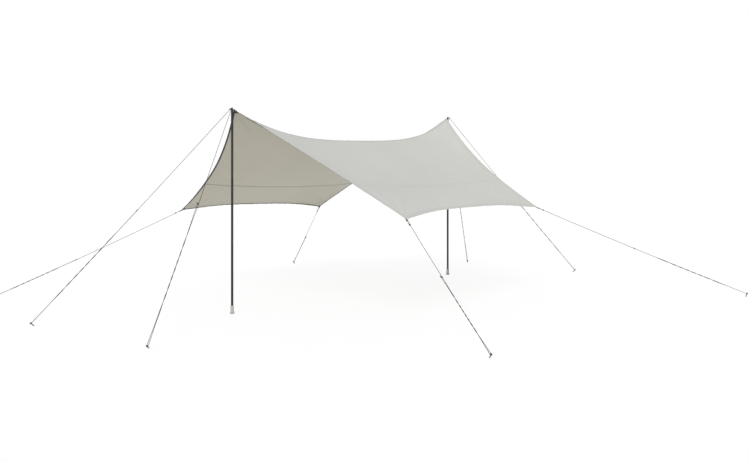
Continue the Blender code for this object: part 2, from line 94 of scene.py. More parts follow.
# The canopy's grid, as distances from an edge or from the ridge
HEM_LINES = (0.0, 0.003, 0.0200, 0.0215, 0.040)
RIDGE_LINES = (0.0, 0.006, 0.0165, 0.0180, 0.040)
TAPE_LINE = 3  # the line of both where the tapes end
PATCH_SIZE = 0.26
PATCH_CELLS = 16
ALONG_CELLS = 152
UPPER_CELLS = 48
LOWER_CELLS = 15
SEAM_FROM_RIDGE = 0.69
SEAM_HALF = 0.006
SEAM_STEP = 0.0012
USUAL_SLOPE = 2.2  # the usual length from the ridge to a side edge
GUSSET_CELLS = 8
PEAK_GUSSET = 0.06
PEAK_GUSSET_CELLS = 8

# Layers of the canopy, measured square to it
HEM_RISE = 0.0004
HEM_DROP = 0.0008
SEAM_RISE = 0.0006
PATCH_TOP = -0.0019
PATCH_THICKNESS = 0.0007
TAPE_TOP = -0.0029
TAPE_THICKNESS = 0.0008
RIDGE_TAPE_GAP = 0.0006
RIDGE_TAPE_THICKNESS = 0.0011

# Peak tabs
TAB_WIDTH = 0.022
TAB = 0.0025
TAB_UNDERSIDE = 2.378
TAB_OUTER = 0.012
TAB_LENGTH = 0.055
TAB_HOLE = 0.006
TAB_BEND = 0.002  # where it leaves the level, outward from the ridge's end
TAB_SEWN_FROM = 0.008
TAB_FOLD = 0.010  # the length in which it comes to lie on the ridge
TAB_TACKS = (0.1, 0.5, 0.9)
TAB_DRILL = 0.01
EYELET_SIDES = 40

# Bar tacks, the zigzags of thread that fasten webbing
TACK_TURNS = 22
TACK_WIDTH = 0.003
TACK_SHARE = 0.8  # of a loop's width
TACK_THREAD = 0.0004

# Corner loops
LOOP_WIDTH = 0.020
LOOP_BAR = 0.003
LOOP_SEWN = 0.024
LOOP_REACH = 0.012
LOOP_EYE = 0.0031
LOOP_SPAN = 0.022  # the corner of cloth whose slope a loop takes
LOOP_BEND = 0.004  # outward from the corner
LOOP_LEAD = 0.002
LOOP_TACKS = (0.001, 0.020)
LAYER_GAP = 0.0001
WEBBING = 0.0013
UNDER_CLOTH = 0.0048
GAP = 0.0003

# Poles
POLE_RADIUS = 0.014
POLE_SIDES = 48
SECTION_JOINTS = (0.82, 1.60)
TUBE_BOTTOM = 0.0103
BUTTON_HEIGHT = 0.035  # above a section's lower end
BUTTON_FACING = {"near": -0.9, "far": 2.2}
FOOT_RADIUS = 0.025
FOOT_HEIGHT = 0.095
FOOT_NECK = 0.019
FOOT_INSIDE = 0.0095
CAP_HEIGHT = 0.030
PIN_RADIUS = 0.004
PIN_SIDES = 40

# Guy ropes, sliders and pegs
ROPE_RADIUS = 0.0025
ROPE_SAG = 0.012
STRAND_POINTS = 121
TWISTS = 4
TWIST_FROM = 0.16
ROPE_LEVEL = 0.0066
STRAND = 0.0032
STRANDS_BELOW_SLIDER = 0.010
STRANDS_ABOVE_PEG = 0.02
STRANDS_TOUCH = 1.04 * ROPE_RADIUS
SLIDER_ENTRY = 0.012
ROPE_TAIL = 0.020
POLE_LOOP = 0.018  # from the pin to where the guy's straight line begins
POLE_LOOP_TAIL = 0.016
POLE_LOOP_HALF = STRAND + 0.0004
POLE_KNOT = 0.012  # down from that place
CORNER_LOOP = 0.055  # from the loop's eye to the same place
CORNER_KNOT = 0.013
KNOT_TURNS = 2.2
STOPPER_TURNS = 1.6
STOPPER_ABOVE_SLIDER = 0.016
COIL_RADIUS = 1.5 * ROPE_RADIUS
COIL_STEP = 2.04 * ROPE_RADIUS
POLE_SLIDERS = {
    "near_pole_left": 0.49,
    "near_pole_right": 0.445,
    "far_pole_left": 0.42,
    "far_pole_right": 0.42,
}
CORNER_SLIDERS = {"left_near": 0.57, "right_near": 0.435, "left_far": 0.50, "right_far": 0.455}
SLIDER_SIZE = (0.025, 0.011, 0.009)
SLIDER_HOLE = 0.0029
PEG_RADIUS = 0.005
PEG_HEAD_RADIUS = 0.011
PEG_HEAD = 0.010
PEG_NECK = 0.044
PEG_SIDES = 32
ROPE_ON_PEG = PEG_NECK - GAP - ROPE_RADIUS
LOOP_RADIUS = PEG_RADIUS + GAP + ROPE_RADIUS
POLE_PEGS = {
    "near_pole_left": (-1.06, -3.96),
    "near_pole_right": (0.78, -3.75),
    "far_pole_left": (-0.61, 3.45),
    "far_pole_right": (1.265, 3.64),
}
CORNER_PEGS = {
    "left_near": (-2.985, -3.49),
    "right_near": (3.45, -1.90),
    "left_far": (-2.68, 1.44),
    "right_far": (4.07, 3.065),
}

# Fixed finishes, a side of the cloth as (roughness, sheen)
RIDGE_COLOUR = (0.435, 0.435, 0.41)
# The patches' cloth, a little darker than the underside's: painted shade of the double layer.
PATCH_COLOUR_WITH_PAINTED_SHADE = (0.40, 0.38, 0.32)
EYELET_COLOUR = (0.42, 0.42, 0.40)
RUBBED_METAL = (0.12, 0.115, 0.11)
SOIL_COLOUR = (0.16, 0.14, 0.11)
THREAD = 0.0008
OUTER_SIDE = (0.62, 0.1)
COATED_SIDE = (0.55, 0.05)

# Painted light and shade of the cloth, as shares of its colour: painted shade of the double hem and
# of the cloth that bends down beside it; at a felled seam, painted shade of its double layer on the
# underside and a lighter line on the top; painted shade of the puckered cloth along that seam; and
# on the low parts, painted light on the top and painted shade on the underside
TOP_PAINTED_LIGHT_AND_SHADE = (0.96, 0.955, 1.02, 0.985, 1.01)
UNDERSIDE_PAINTED_SHADE = (0.9, 0.985, 0.68, 0.86, 0.985)
PATCH_PAINTED_SHADE = (0.95, 1.0, 1.0, 1.0, 1.0)
NO_PAINTED_LIGHT = (1.0, 1.0, 1.0, 1.0, 1.0)

# Where this painted light and shade begins and ends, and the rows of stitches, as distances from
# an edge, a seam or the ridge
PAINTED_HEM_FADE = (0.0205, 0.0225)
PAINTED_BEND_BAND = (0.036, 0.012, 0.022)  # its middle, half width and soft margin
PAINTED_SEAM_FADE = (0.0055, 0.0075)
PAINTED_PUCKER_FADE = (0.006, 0.032)
PAINTED_CREST_FADE = (0.0165, 0.0185)
PAINTED_LOW_FADE = (1.4, 2.1)
HEM_STITCHES = (0.0025, 0.0195)
SEAM_STITCHES = (0.004,)
RIDGE_STITCHES = (0.005, 0.015)
STITCH_HALF = 0.00035
STITCH_PITCH = 0.0036

# The photograph's view, the light and the floor
CAMERA_AT = (8.0, -6.555, 1.93)
CAMERA_TURN = 0.7242
CAMERA_DROP = 0.1114
CAMERA_SENSOR = 36
KEY_FROM = (0.47, -0.8, 0.82)
KEY_SPREAD = 28
FLOOR_RADII = (0.5, 4.0, 12.0, 40.0, 120.0)
FLOOR_SIDES = 64

UP = np.array((0.0, 0.0, 1.0))
UV_NAME = "metres"
MERGE_WITHIN = 1e-6


# Settings


class TarpCloth(bpy.types.PropertyGroup):
    """Sizes and colours of the canopy and of what is sewn to it."""

    top: FloatVectorProperty(
        name="Top", description="Colour of the cloth's outer side", subtype="COLOR", size=3,
        min=0, max=1, default=(0.505, 0.508, 0.479),
    )
    underside: FloatVectorProperty(
        name="Underside", description="Colour of the cloth's coated inner side", subtype="COLOR",
        size=3, min=0, max=1, default=(0.422, 0.400, 0.331),
    )
    tape: FloatVectorProperty(
        name="Tape", description="Colour of the edge tape and the webbing", subtype="COLOR", size=3,
        min=0, max=1, default=(0.012, 0.012, 0.011),
    )
    thickness: FloatProperty(
        name="Thickness", description="Thickness of the cloth", unit="LENGTH", default=0.0008,
    )
    thread: FloatProperty(
        name="Thread", description="Distance between threads of the weave", unit="LENGTH",
        default=THREAD,
    )
    folds: FloatProperty(
        name="Folds", description="Height of the folds that fan out from a corner", unit="LENGTH",
        default=0.0032,
    )
    puckers: FloatProperty(
        name="Puckers", description="Height of the puckers along seams and hems", unit="LENGTH",
        default=0.0016,
    )
    slack: FloatProperty(
        name="Slack", description="Height of the broad waves in the open cloth", unit="LENGTH",
        default=0.006,
    )


class TarpPoles(bpy.types.PropertyGroup):
    """Colours of the poles."""

    tube: FloatVectorProperty(
        name="Tube", description="Colour of the painted tube", subtype="COLOR", size=3, min=0,
        max=1, default=(0.014, 0.013, 0.011),
    )
    foot: FloatVectorProperty(
        name="Foot", description="Colour of the moulded foot", subtype="COLOR", size=3, min=0,
        max=1, default=(0.40, 0.40, 0.38),
    )


class TarpRopes(bpy.types.PropertyGroup):
    """Sizes and colours of the guy ropes, their sliders and the pegs."""

    rope: FloatVectorProperty(
        name="Rope", description="Colour of the braided rope", subtype="COLOR", size=3, min=0,
        max=1, default=(0.032, 0.03, 0.027),
    )
    fleck: FloatVectorProperty(
        name="Fleck", description="Colour of the rope's lighter threads", subtype="COLOR", size=3,
        min=0, max=1, default=(0.13, 0.115, 0.10),
    )
    slider: FloatVectorProperty(
        name="Slider", description="Colour of the rope sliders", subtype="COLOR", size=3, min=0,
        max=1, default=(0.02, 0.02, 0.02),
    )
    peg: FloatVectorProperty(
        name="Peg", description="Colour of the pegs and pins", subtype="COLOR", size=3, min=0,
        max=1, default=(0.075, 0.073, 0.07),
    )
    braid: FloatProperty(
        name="Braid", description="Length of one diamond of the braid", unit="LENGTH",
        default=0.0035,
    )


class TarpStage(bpy.types.PropertyGroup):
    """The floor, the light and the camera's lens."""

    floor: FloatVectorProperty(
        name="Floor", description="Colour of the floor", subtype="COLOR", size=3, min=0, max=1,
        default=(0.12, 0.12, 0.12),
    )
    floor_glow: FloatProperty(
        name="Floor glow", description="Light that the floor gives, so that it stays white",
        default=0.86,
    )
    sky: FloatProperty(name="Sky", description="Strength of the light from all round", default=0.75)
    key: FloatProperty(name="Key", description="Strength of the soft main light", default=1.6)
    focal_length: FloatProperty(
        name="Focal length", description="Focal length on a sensor 36 mm wide, in millimetres",
        default=42.26,
    )


# Numbers and vectors


def unit(vectors):
    """The vectors, each divided by its own length."""
    return vectors / np.linalg.norm(vectors, axis=-1, keepdims=True)


def square_to(vector, direction):
    """The vector less its part along a unit direction, brought to length 1."""
    return unit(vector - (vector * direction).sum(-1, keepdims=True) * direction)


def stretched(start, end, count):
    """Evenly spaced points on the straight line from start to end."""
    return start + (end - start) * np.linspace(0, 1, count)[:, None]


def smooth_path(points, per_span):
    """A Catmull-Rom curve: in each span the cubic that meets its ends with the chords' slopes."""
    points = np.asarray(points, float)
    padded = np.concatenate(([2 * points[0] - points[1]], points, [2 * points[-1] - points[-2]]))
    a, b, c, d = (padded[k : len(padded) - 3 + k, None] for k in range(4))
    t = (np.arange(per_span) / per_span)[None, :, None]
    curve = b + (c - a) * (t / 2) + (2 * a - 5 * b + 4 * c - d) * (t**2 / 2)
    curve = curve + (3 * b - a - 3 * c + d) * (t**3 / 2)
    return np.concatenate((curve.reshape(-1, 3), points[-1:]))


# Meshes


def piece(name, points, faces, uv, finishes, which=None, attributes=None, sharp=40):
    """A mesh object in the row frame, from points about the tarp's middle. uv has one row for each
    face corner, in the faces' order."""
    mesh = bpy.data.meshes.new(name)
    corners = [face for group in faces for face in group.tolist()]
    mesh.from_pydata((np.asarray(points) + MIDDLE).tolist(), [], corners)
    layer = mesh.uv_layers.new(name=UV_NAME)
    layer.data.foreach_set("uv", np.asarray(uv, np.float32).ravel())
    for label, values in (attributes or {}).items():
        attribute = mesh.attributes.new(label, "FLOAT", "POINT")
        attribute.data.foreach_set("value", np.asarray(values, np.float32))
    for finish in finishes:
        mesh.materials.append(finish)
    if which is not None:
        mesh.polygons.foreach_set("material_index", which)
    mesh.polygons.foreach_set("use_smooth", np.ones(len(corners), bool))
    mesh.set_sharp_from_angle(angle=math.radians(sharp))
    mesh.validate()
    thing = bpy.data.objects.new(name, mesh)
    bpy.context.scene.collection.objects.link(thing)
    return thing


def settle(thing, slot, *nodes):
    """The piece rides on the tarp and stands for its solids. Its slot is not used."""
    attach(thing, "root")
    if nodes:
        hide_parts(*nodes)


def joined(parts):
    """Several (points, faces, uv) in one, the later ones' faces counted on."""
    points = np.concatenate([part[0] for part in parts])
    starts = np.cumsum([0] + [len(part[0]) for part in parts])
    faces = [group + start for part, start in zip(parts, starts) for group in part[1]]
    return points, faces, np.concatenate([part[2] for part in parts])


def rim(groups):
    """The directed edges that only one face has."""
    edges = np.concatenate(
        [np.stack((group, np.roll(group, -1, axis=1)), -1).reshape(-1, 2) for group in groups]
    )
    keys = edges.min(1) * (edges.max() + 1) + edges.max(1)
    _, first, count = np.unique(keys, return_index=True, return_counts=True)
    return edges[first[count == 1]]


def closed_sheet(top, bottom, faces, uv):
    """A sheet with a wall round its rim: the top's faces, the bottom's turned over but split along
    the same diagonals, and a quad for each edge that only one face has. Returns points, face
    groups, uv and the points' grid indices."""
    used = np.unique(np.concatenate([group.ravel() for group in faces]))
    place = np.zeros(top.reshape(-1, 3).shape[0], int)
    place[used] = np.arange(len(used))
    upper = [place[group] for group in faces]
    lower = [np.roll(group[:, ::-1], 1, axis=1) + len(used) for group in upper]
    edges = rim(upper)
    wall = np.stack((edges[:, 1], edges[:, 0], edges[:, 0] + len(used), edges[:, 1] + len(used)), 1)
    points = np.concatenate((top.reshape(-1, 3)[used], bottom.reshape(-1, 3)[used]))
    groups = [*upper, *lower, wall]
    per_point = np.tile(uv.reshape(-1, 2)[used], (2, 1))
    corner_uv = np.concatenate([per_point[group.ravel()] for group in groups])
    return points, groups, corner_uv, used


def ring_faces(rings, around):
    """Quads between each ring and the next, with their first ring and place round it."""
    i, k = np.meshgrid(np.arange(rings - 1), np.arange(around), indexing="ij")
    i, k = i.ravel(), k.ravel()
    on = (k + 1) % around
    here, above = i * around, (i + 1) * around
    return np.stack((here + k, here + on, above + on, above + k), 1)


def ring_mesh(rings, length, girth):
    """A closed skin over rings of points, n x k x 3, with flat ends. uv is (length, way round)."""
    count, around = rings.shape[:2]
    sides = ring_faces(count, around)
    i, k = np.divmod(np.arange(len(sides)), around)
    u = np.stack((length[i], length[i], length[i + 1], length[i + 1]), 1)
    v = np.stack((k, k + 1, k + 1, k), 1) * (girth / around)
    first = np.arange(around)[::-1][None]
    last = ((count - 1) * around + np.arange(around))[None]
    ends = [np.full((around, 2), length[0]), np.full((around, 2), length[-1])]
    uv = np.concatenate((np.stack((u, v), -1).reshape(-1, 2), *ends))
    return rings.reshape(-1, 3), [sides, first, last], uv


def circle(radius, count):
    """Evenly spaced points radius (cos, sin), counter-clockwise from the first axis."""
    turns = 2 * np.pi * np.arange(count) / count
    return radius * np.stack((np.cos(turns), np.sin(turns)), -1)


def ribbon(width, thickness):
    """The section of a strip of webbing, its edges rounded over."""
    w, t = width / 2, thickness / 2
    edge = thickness * 0.45
    return np.array(
        [(-w, -t / 2), (edge - w, -t), (0, -t), (w - edge, -t), (w, -t / 2),
         (w, t / 2), (w - edge, t), (0, t), (edge - w, t), (-w, t / 2)]
    )


def sweep(path, reference, section):
    """A section carried along a path. At each point its first axis is square to the path and as
    near as can be to the reference direction, and its second axis is square to both."""
    tangent = unit(np.gradient(path, axis=0))
    first = square_to(np.broadcast_to(reference, path.shape), tangent)
    second = np.cross(tangent, first)
    section = np.broadcast_to(section, (len(path), *np.shape(section)[-2:]))
    rings = path[:, None] + section[..., :1] * first[:, None] + section[..., 1:] * second[:, None]
    length = np.concatenate(([0], np.cumsum(np.linalg.norm(np.diff(path, axis=0), axis=1))))
    girth = np.linalg.norm(section[0] - np.roll(section[0], 1, axis=0), axis=1).sum()
    return ring_mesh(rings, length, girth)


def lathe(profile, sides, centre=(0, 0, 0), axes=np.eye(3)):
    """A profile of (radius, height) turned about an axis, from its lowest point up its outer side:
    centre + radius (cos turn, sin turn) + height along the third axis."""
    profile = np.asarray(profile, float)
    turn = circle(1, sides)
    flat = turn[:, :1] * axes[0] + turn[:, 1:] * axes[1]
    rings = np.asarray(centre) + profile[:, :1, None] * flat + profile[:, 1:, None] * axes[2]
    length = np.concatenate(([0], np.cumsum(np.linalg.norm(np.diff(profile, axis=0), axis=1))))
    return ring_mesh(rings, length, 2 * np.pi * profile[:, 0].max())


def pierce(thing, parts):
    """Cuts closed shapes out of a piece and keeps the result, its doubled points merged, as its
    mesh."""
    for number, (points, faces, uv) in enumerate(parts):
        tool = piece(f"{thing.name}_tool_{number}", points, faces, uv, thing.data.materials)
        cut = thing.modifiers.new("cut", "BOOLEAN")
        cut.operation = "DIFFERENCE"
        cut.object = tool
        shaped = thing.evaluated_get(bpy.context.evaluated_depsgraph_get())
        mesh = bpy.data.meshes.new_from_object(shaped)
        thing.modifiers.clear()
        thing.data = mesh
        bpy.data.objects.remove(tool)
    solid = bmesh.new()
    solid.from_mesh(thing.data)
    bmesh.ops.remove_doubles(solid, verts=solid.verts, dist=MERGE_WITHIN)
    solid.to_mesh(thing.data)
    solid.free()
    thing.data.name = thing.name


# Canopy surface


def bowed(start, end, towards, cut_in, drop, power, t):
    """The chord from start to end, plus a bow towards a direction and down that is
    1 - |2t - 1|^power of its full size at the share t, with one power or one for each point."""
    chord = end - start
    bow = cut_in * square_to(towards, unit(chord)) - drop * UP
    return start + chord * t[..., None] + (1 - np.abs(2 * t - 1) ** power)[..., None] * bow


def corner_point(name):
    """Where a side corner of the cloth is."""
    side, end = name.split("_")
    x = CORNER_X if side == "right" else -CORNER_X
    y = CORNER_Y if end == "far" else -CORNER_Y
    return np.array((x, y, CORNER_HEIGHTS[name]))


def peak_point(end):
    """Where the ridge ends."""
    return np.array((0, RIDGE_END_Y if end == "far" else -RIDGE_END_Y, RIDGE_END_HEIGHT))


def half_surface(side, u, v):
    """One half of the canopy, u from the near end to the far one and v from the ridge to the side
    edge. A Coons patch: the blend of the ridge and side edge, plus that of the two end edges, less
    the bilinear patch of the corners."""
    near_peak, far_peak = peak_point("near"), peak_point("far")
    near, far = corner_point(side + "_near"), corner_point(side + "_far")
    middle = np.array((0, 0, RIDGE_MIDDLE_HEIGHT))
    sag = RIDGE_END_HEIGHT - RIDGE_MIDDLE_HEIGHT
    ridge = bowed(near_peak, far_peak, -UP, sag, 0, np.where(u < 0.5, *RIDGE_POWERS), u)
    edge = bowed(near, far, middle - near, SIDE_EDGE_CUT, -SIDE_EDGE_RISE, SIDE_POWER, u)
    front, back = (
        bowed(peak, tip, middle - peak, END_EDGE_CUTS[name], END_EDGE_DROOP, END_POWERS[name], v)
        for peak, tip, name in ((near_peak, near, side + "_near"), (far_peak, far, side + "_far"))
    )
    u, v = u[..., None], v[..., None]
    corners = (1 - u) * ((1 - v) * near_peak + v * near) + u * ((1 - v) * far_peak + v * far)
    return (1 - v) * ridge + v * edge + (1 - u) * front + u * back - corners


def patch_lines(start):
    """Distances from an edge over its tape and its corner patches."""
    return np.concatenate((start, np.linspace(start[-1], PATCH_SIZE, PATCH_CELLS + 1)[1:]))


def open_lines(first, last, cells):
    """Even distances between two others, without them, for each of the lengths."""
    share = np.linspace(0, 1, cells + 1)[1:-1, None]
    return first + (last - first) * share


def lines_along(length):
    """Distances of the grid's lines from the near edge, one column for each length."""
    length = np.atleast_1d(length)[None]
    start = patch_lines(HEM_LINES)[:, None]
    middle = open_lines(PATCH_SIZE, length - PATCH_SIZE, ALONG_CELLS)
    return np.concatenate((start + 0 * length, middle, length - start[::-1]))


def lines_across(length):
    """Distances of the grid's lines from the ridge, one column for each length."""
    length = np.atleast_1d(length)[None]
    seam = SEAM_FROM_RIDGE * length
    wide = SEAM_HALF + SEAM_STEP
    steps = np.array((-wide, -SEAM_HALF, 0, SEAM_HALF, wide))[:, None]
    upper = open_lines(PATCH_SIZE, seam + steps[0], UPPER_CELLS)
    lower = open_lines(seam + steps[-1], length - PATCH_SIZE, LOWER_CELLS)
    start = patch_lines(RIDGE_LINES)[:, None] + 0 * length
    end = length - patch_lines(HEM_LINES)[::-1, None]
    return np.concatenate((start, upper, seam + steps, lower, end))


def waves(along, parts):
    """A sum of sines of a distance, each part a (wavelength, share, phase)."""
    return sum(share * np.sin(2 * np.pi * along / wave + phase) for wave, share, phase in parts)


class Canopy:
    """The canopy's points on one grid, rows from the near end to the far one and columns from the
    left edge over the ridge to the right edge, with distances from its edges, ridge and seams."""

    def __init__(self, cloth):
        halves = [self.half("left"), self.half("right")]
        whole = [np.concatenate((a[:, ::-1], b[:, 1:]), axis=1) for a, b in zip(*halves)]
        self.points, self.along, self.across, self.from_end, self.from_side, self.from_seam = whole
        self.ridge = halves[0][0].shape[1] - 1
        self.side = np.sign(np.arange(self.points.shape[1]) - self.ridge)[None]
        self.from_edge = np.minimum(self.from_end, self.from_side)
        self.normals = self.square()
        self.points = self.points + self.normals * self.lift(cloth)[..., None] - UP * self.hang()
        self.normals = self.square()
        self.uv = np.stack((self.across * self.side, self.along), -1)

    def half(self, side):
        """Points and distances of one half, its columns from the ridge to the side edge."""
        ends = np.array((0.0, 1.0))
        rows = lines_along(2 * CORNER_Y)[:, 0] / (2 * CORNER_Y)
        columns = lines_across(USUAL_SLOPE)[:, 0] / USUAL_SLOPE
        span = half_surface(side, *np.meshgrid(ends, columns, indexing="ij"))
        long = np.linalg.norm(span[1] - span[0], axis=-1)
        span = half_surface(side, *np.meshgrid(rows, ends, indexing="ij"))
        wide = np.linalg.norm(span[:, 1] - span[:, 0], axis=-1)
        along = lines_along(long)
        across = lines_across(wide).T
        points = half_surface(side, along / long, across / wide[:, None])
        from_end = np.minimum(along, long - along)
        from_side = wide[:, None] - across
        from_seam = across - SEAM_FROM_RIDGE * wide[:, None]
        return points, along, across, from_end, from_side, from_seam

    def square(self):
        """Unit normals: the cross product of the grid's two directions."""
        return unit(np.cross(np.gradient(self.points, axis=1), np.gradient(self.points, axis=0)))

    def fan(self, tip, folds, phase, height):
        """Folds that fan out from a corner: a cosine of the angle round it, times a height that is
        (r/R)^3 exp(3 - 3 r/R) at the distance r and so greatest at R."""
        away = self.points - tip
        inward = unit(np.array((-tip[0], -tip[1], 0.0)))
        beside = np.array((-inward[1], inward[0], 0.0))
        turn = np.arctan2((away * beside).sum(-1), (away * inward).sum(-1))
        if abs(tip[0]) < GAP:
            turn = np.abs(turn)
        reach = np.linalg.norm(away, axis=-1) / FAN_REACH
        shape = np.cos(folds * turn + phase) + 0.5 * np.cos(1.7 * folds * turn + 2 * phase)
        return height * reach**3 * np.exp(3 - 3 * reach) * shape

    def hang(self):
        """How far the cloth beside a side edge hangs down: h exp(-d/w) at the distance d from it,
        and nothing at the corners, where the edge is pulled straight."""
        deep = np.where(self.side < 0, HEM_HANG["left"], HEM_HANG["right"])
        free = 1 - np.exp(-self.from_end / CORNER_PULL)
        return (deep * np.exp(-self.from_side / HEM_HANG_WIDTH) * free)[..., None]

    def lift(self, cloth):
        """Height of folds, puckers and slack above the plain surface: waves along each edge, seam
        and the ridge, exp(-d/w) of their full height at the distance d from it, and fans."""
        round_edge = np.where(self.from_end < self.from_side, self.across, self.along)
        hem = waves(round_edge, HEM_WAVES) * np.exp(-self.from_edge / HEM_WAVE_REACH)
        quiet = 1 - np.exp(-np.maximum(self.from_end, self.from_side) / CORNER_PULL)
        tall = cloth.puckers * hem * quiet
        stitched = cloth.puckers * waves(self.along, SEAM_WAVES)
        tall = tall + 0.7 * stitched * np.exp(-np.abs(self.from_seam) / SEAM_WAVE_REACH)
        tall = tall + 0.6 * stitched * np.exp(-self.across / RIDGE_WAVE_REACH)
        for number, name in enumerate(CORNERS):
            tall = tall + self.fan(corner_point(name), 13 + number, 1.3 * number, cloth.folds)
        for number, end in enumerate(("near", "far")):
            tall = tall + self.fan(peak_point(end), 17 + 2 * number, 0.7 + number, cloth.folds)
        broad = waves(self.along + 0.35 * self.across * self.side, SLACK_WAVES)
        broad = broad * np.sin(np.pi * self.across / (self.across + self.from_side))
        open_cloth = 1 - np.exp(-self.from_edge / SLACK_FROM_EDGE)
        return tall + cloth.slack * broad * open_cloth

    def layer(self, height):
        """The points moved along their normals."""
        return self.points + self.normals * np.broadcast_to(height, self.across.shape)[..., None]

    def cells(self, keep=None):
        """The grid's quads, all of them or those that a mask of cells keeps."""
        return grid_quads(self.across.shape, keep)


def grid_quads(shape, keep=None):
    """A grid's cells as quads, all of them or those that a mask keeps."""
    index = np.arange(shape[0] * shape[1]).reshape(shape)
    quads = np.stack((index[:-1, :-1], index[:-1, 1:], index[1:, 1:], index[1:, :-1]), -1)
    return quads.reshape(-1, 4) if keep is None else quads[keep]


# Finishes


class Finish:
    """A material whose nodes are added by short calls."""

    def __init__(self, name, colour, roughness, metallic=0.0):
        self.material = bpy.data.materials.new(name)
        self.material.use_nodes = True
        self.material.diffuse_color = (*colour, 1)
        self.tree = self.material.node_tree
        self.shader = self.tree.nodes["Principled BSDF"]
        self.shader.inputs["Base Color"].default_value = (*colour, 1)
        self.shader.inputs["Roughness"].default_value = roughness
        self.shader.inputs["Metallic"].default_value = metallic

    def feed(self, socket, value):
        """Links a socket, or sets its number or colour."""
        if isinstance(value, bpy.types.NodeSocket):
            self.tree.links.new(value, socket)
        else:
            socket.default_value = value

    def node(self, kind, inputs=None, **settings):
        """A new node with its settings and what goes into its sockets."""
        made = self.tree.nodes.new("ShaderNode" + kind)
        for key, value in settings.items():
            setattr(made, key, value)
        for key, value in (inputs or {}).items():
            self.feed(made.inputs[key], value)
        return made

    def math(self, operation, *values):
        """One step of arithmetic on plain numbers."""
        return self.node("Math", dict(enumerate(values)), operation=operation).outputs[0]

    def times(self, a, b):
        """The product of two numbers."""
        return self.math("MULTIPLY", a, b)

    def plus(self, a, b):
        """The sum of two numbers."""
        return self.math("ADD", a, b)

    def most(self, values):
        """The largest of several values."""
        return reduce(lambda a, b: self.math("MAXIMUM", a, b), values)

    def ramp(self, value, low, high, at_low=0.0, at_high=1.0):
        """A smooth step of a value between two of its sizes."""
        sockets = {"Value": value, "From Min": low, "From Max": high}
        sockets |= {"To Min": at_low, "To Max": at_high}
        return self.node("MapRange", sockets, interpolation_type="SMOOTHSTEP").outputs["Result"]

    def band(self, value, middle, half, soft):
        """1 where a value is within half of the middle, falling to 0 over a soft margin."""
        away = self.math("ABSOLUTE", self.math("SUBTRACT", value, middle))
        return self.ramp(away, half, half + soft, 1.0, 0.0)

    def wave(self, value, pitch, phase=0.0):
        """The sine of a distance, one turn for each pitch."""
        turn = self.math("MULTIPLY_ADD", value, 2 * math.pi / pitch, phase)
        return self.math("SINE", turn)

    def noise(self, where, scale, detail=3.0, stretch=None):
        """Noise from about 0 to 1, its pattern stretched where three factors are given."""
        if stretch:
            where = self.node("VectorMath", {0: where, 1: stretch}, operation="MULTIPLY").outputs[0]
        sockets = {"Vector": where, "Scale": scale, "Detail": detail}
        return self.node("TexNoise", sockets).outputs["Fac"]

    def here(self):
        """Where a point is on its object."""
        return self.node("TexCoord").outputs["Object"]

    def uv(self):
        """The piece's own map, as its vector and its two distances."""
        where = self.node("UVMap", uv_map=UV_NAME).outputs["UV"]
        parts = self.node("SeparateXYZ", {0: where}).outputs
        return where, parts["X"], parts["Y"]

    def attribute(self, name):
        """A distance kept on the mesh."""
        return self.node("Attribute", attribute_name=name).outputs["Fac"]

    def mix(self, share, a, b):
        """A colour between two others, the second at a share of 1."""
        made = self.node("Mix", data_type="RGBA")
        self.feed(made.inputs["Factor"], share)
        for socket, value in ((made.inputs[6], a), (made.inputs[7], b)):
            self.feed(socket, value if isinstance(value, bpy.types.NodeSocket) else (*value, 1))
        return made.outputs[2]

    def shaded(self, colour, shade):
        """A colour times a plain number."""
        start = colour if isinstance(colour, bpy.types.NodeSocket) else tuple(colour)
        made = self.node("VectorMath", {0: start, "Scale": shade}, operation="SCALE")
        return made.outputs["Vector"]

    def paint(self, colour):
        """The shader's colour."""
        self.feed(self.shader.inputs["Base Color"], colour)

    def rough(self, value):
        """The shader's roughness."""
        self.feed(self.shader.inputs["Roughness"], value)

    def relief(self, height, depth):
        """Bump from a height of about 0 to 1, this many metres deep."""
        bump = self.node("Bump", {"Height": height, "Distance": depth, "Strength": 1.0})
        self.tree.links.new(bump.outputs["Normal"], self.shader.inputs["Normal"])


def sewn_rows(finish, distance, rows, run):
    """Stitches as dashes along lines at set distances, from 0 to 1."""
    lines = finish.most(finish.band(distance, row, STITCH_HALF, 0.0003) for row in rows)
    dash = finish.ramp(finish.wave(run, STITCH_PITCH), -0.55, -0.1)
    return finish.times(lines, dash)


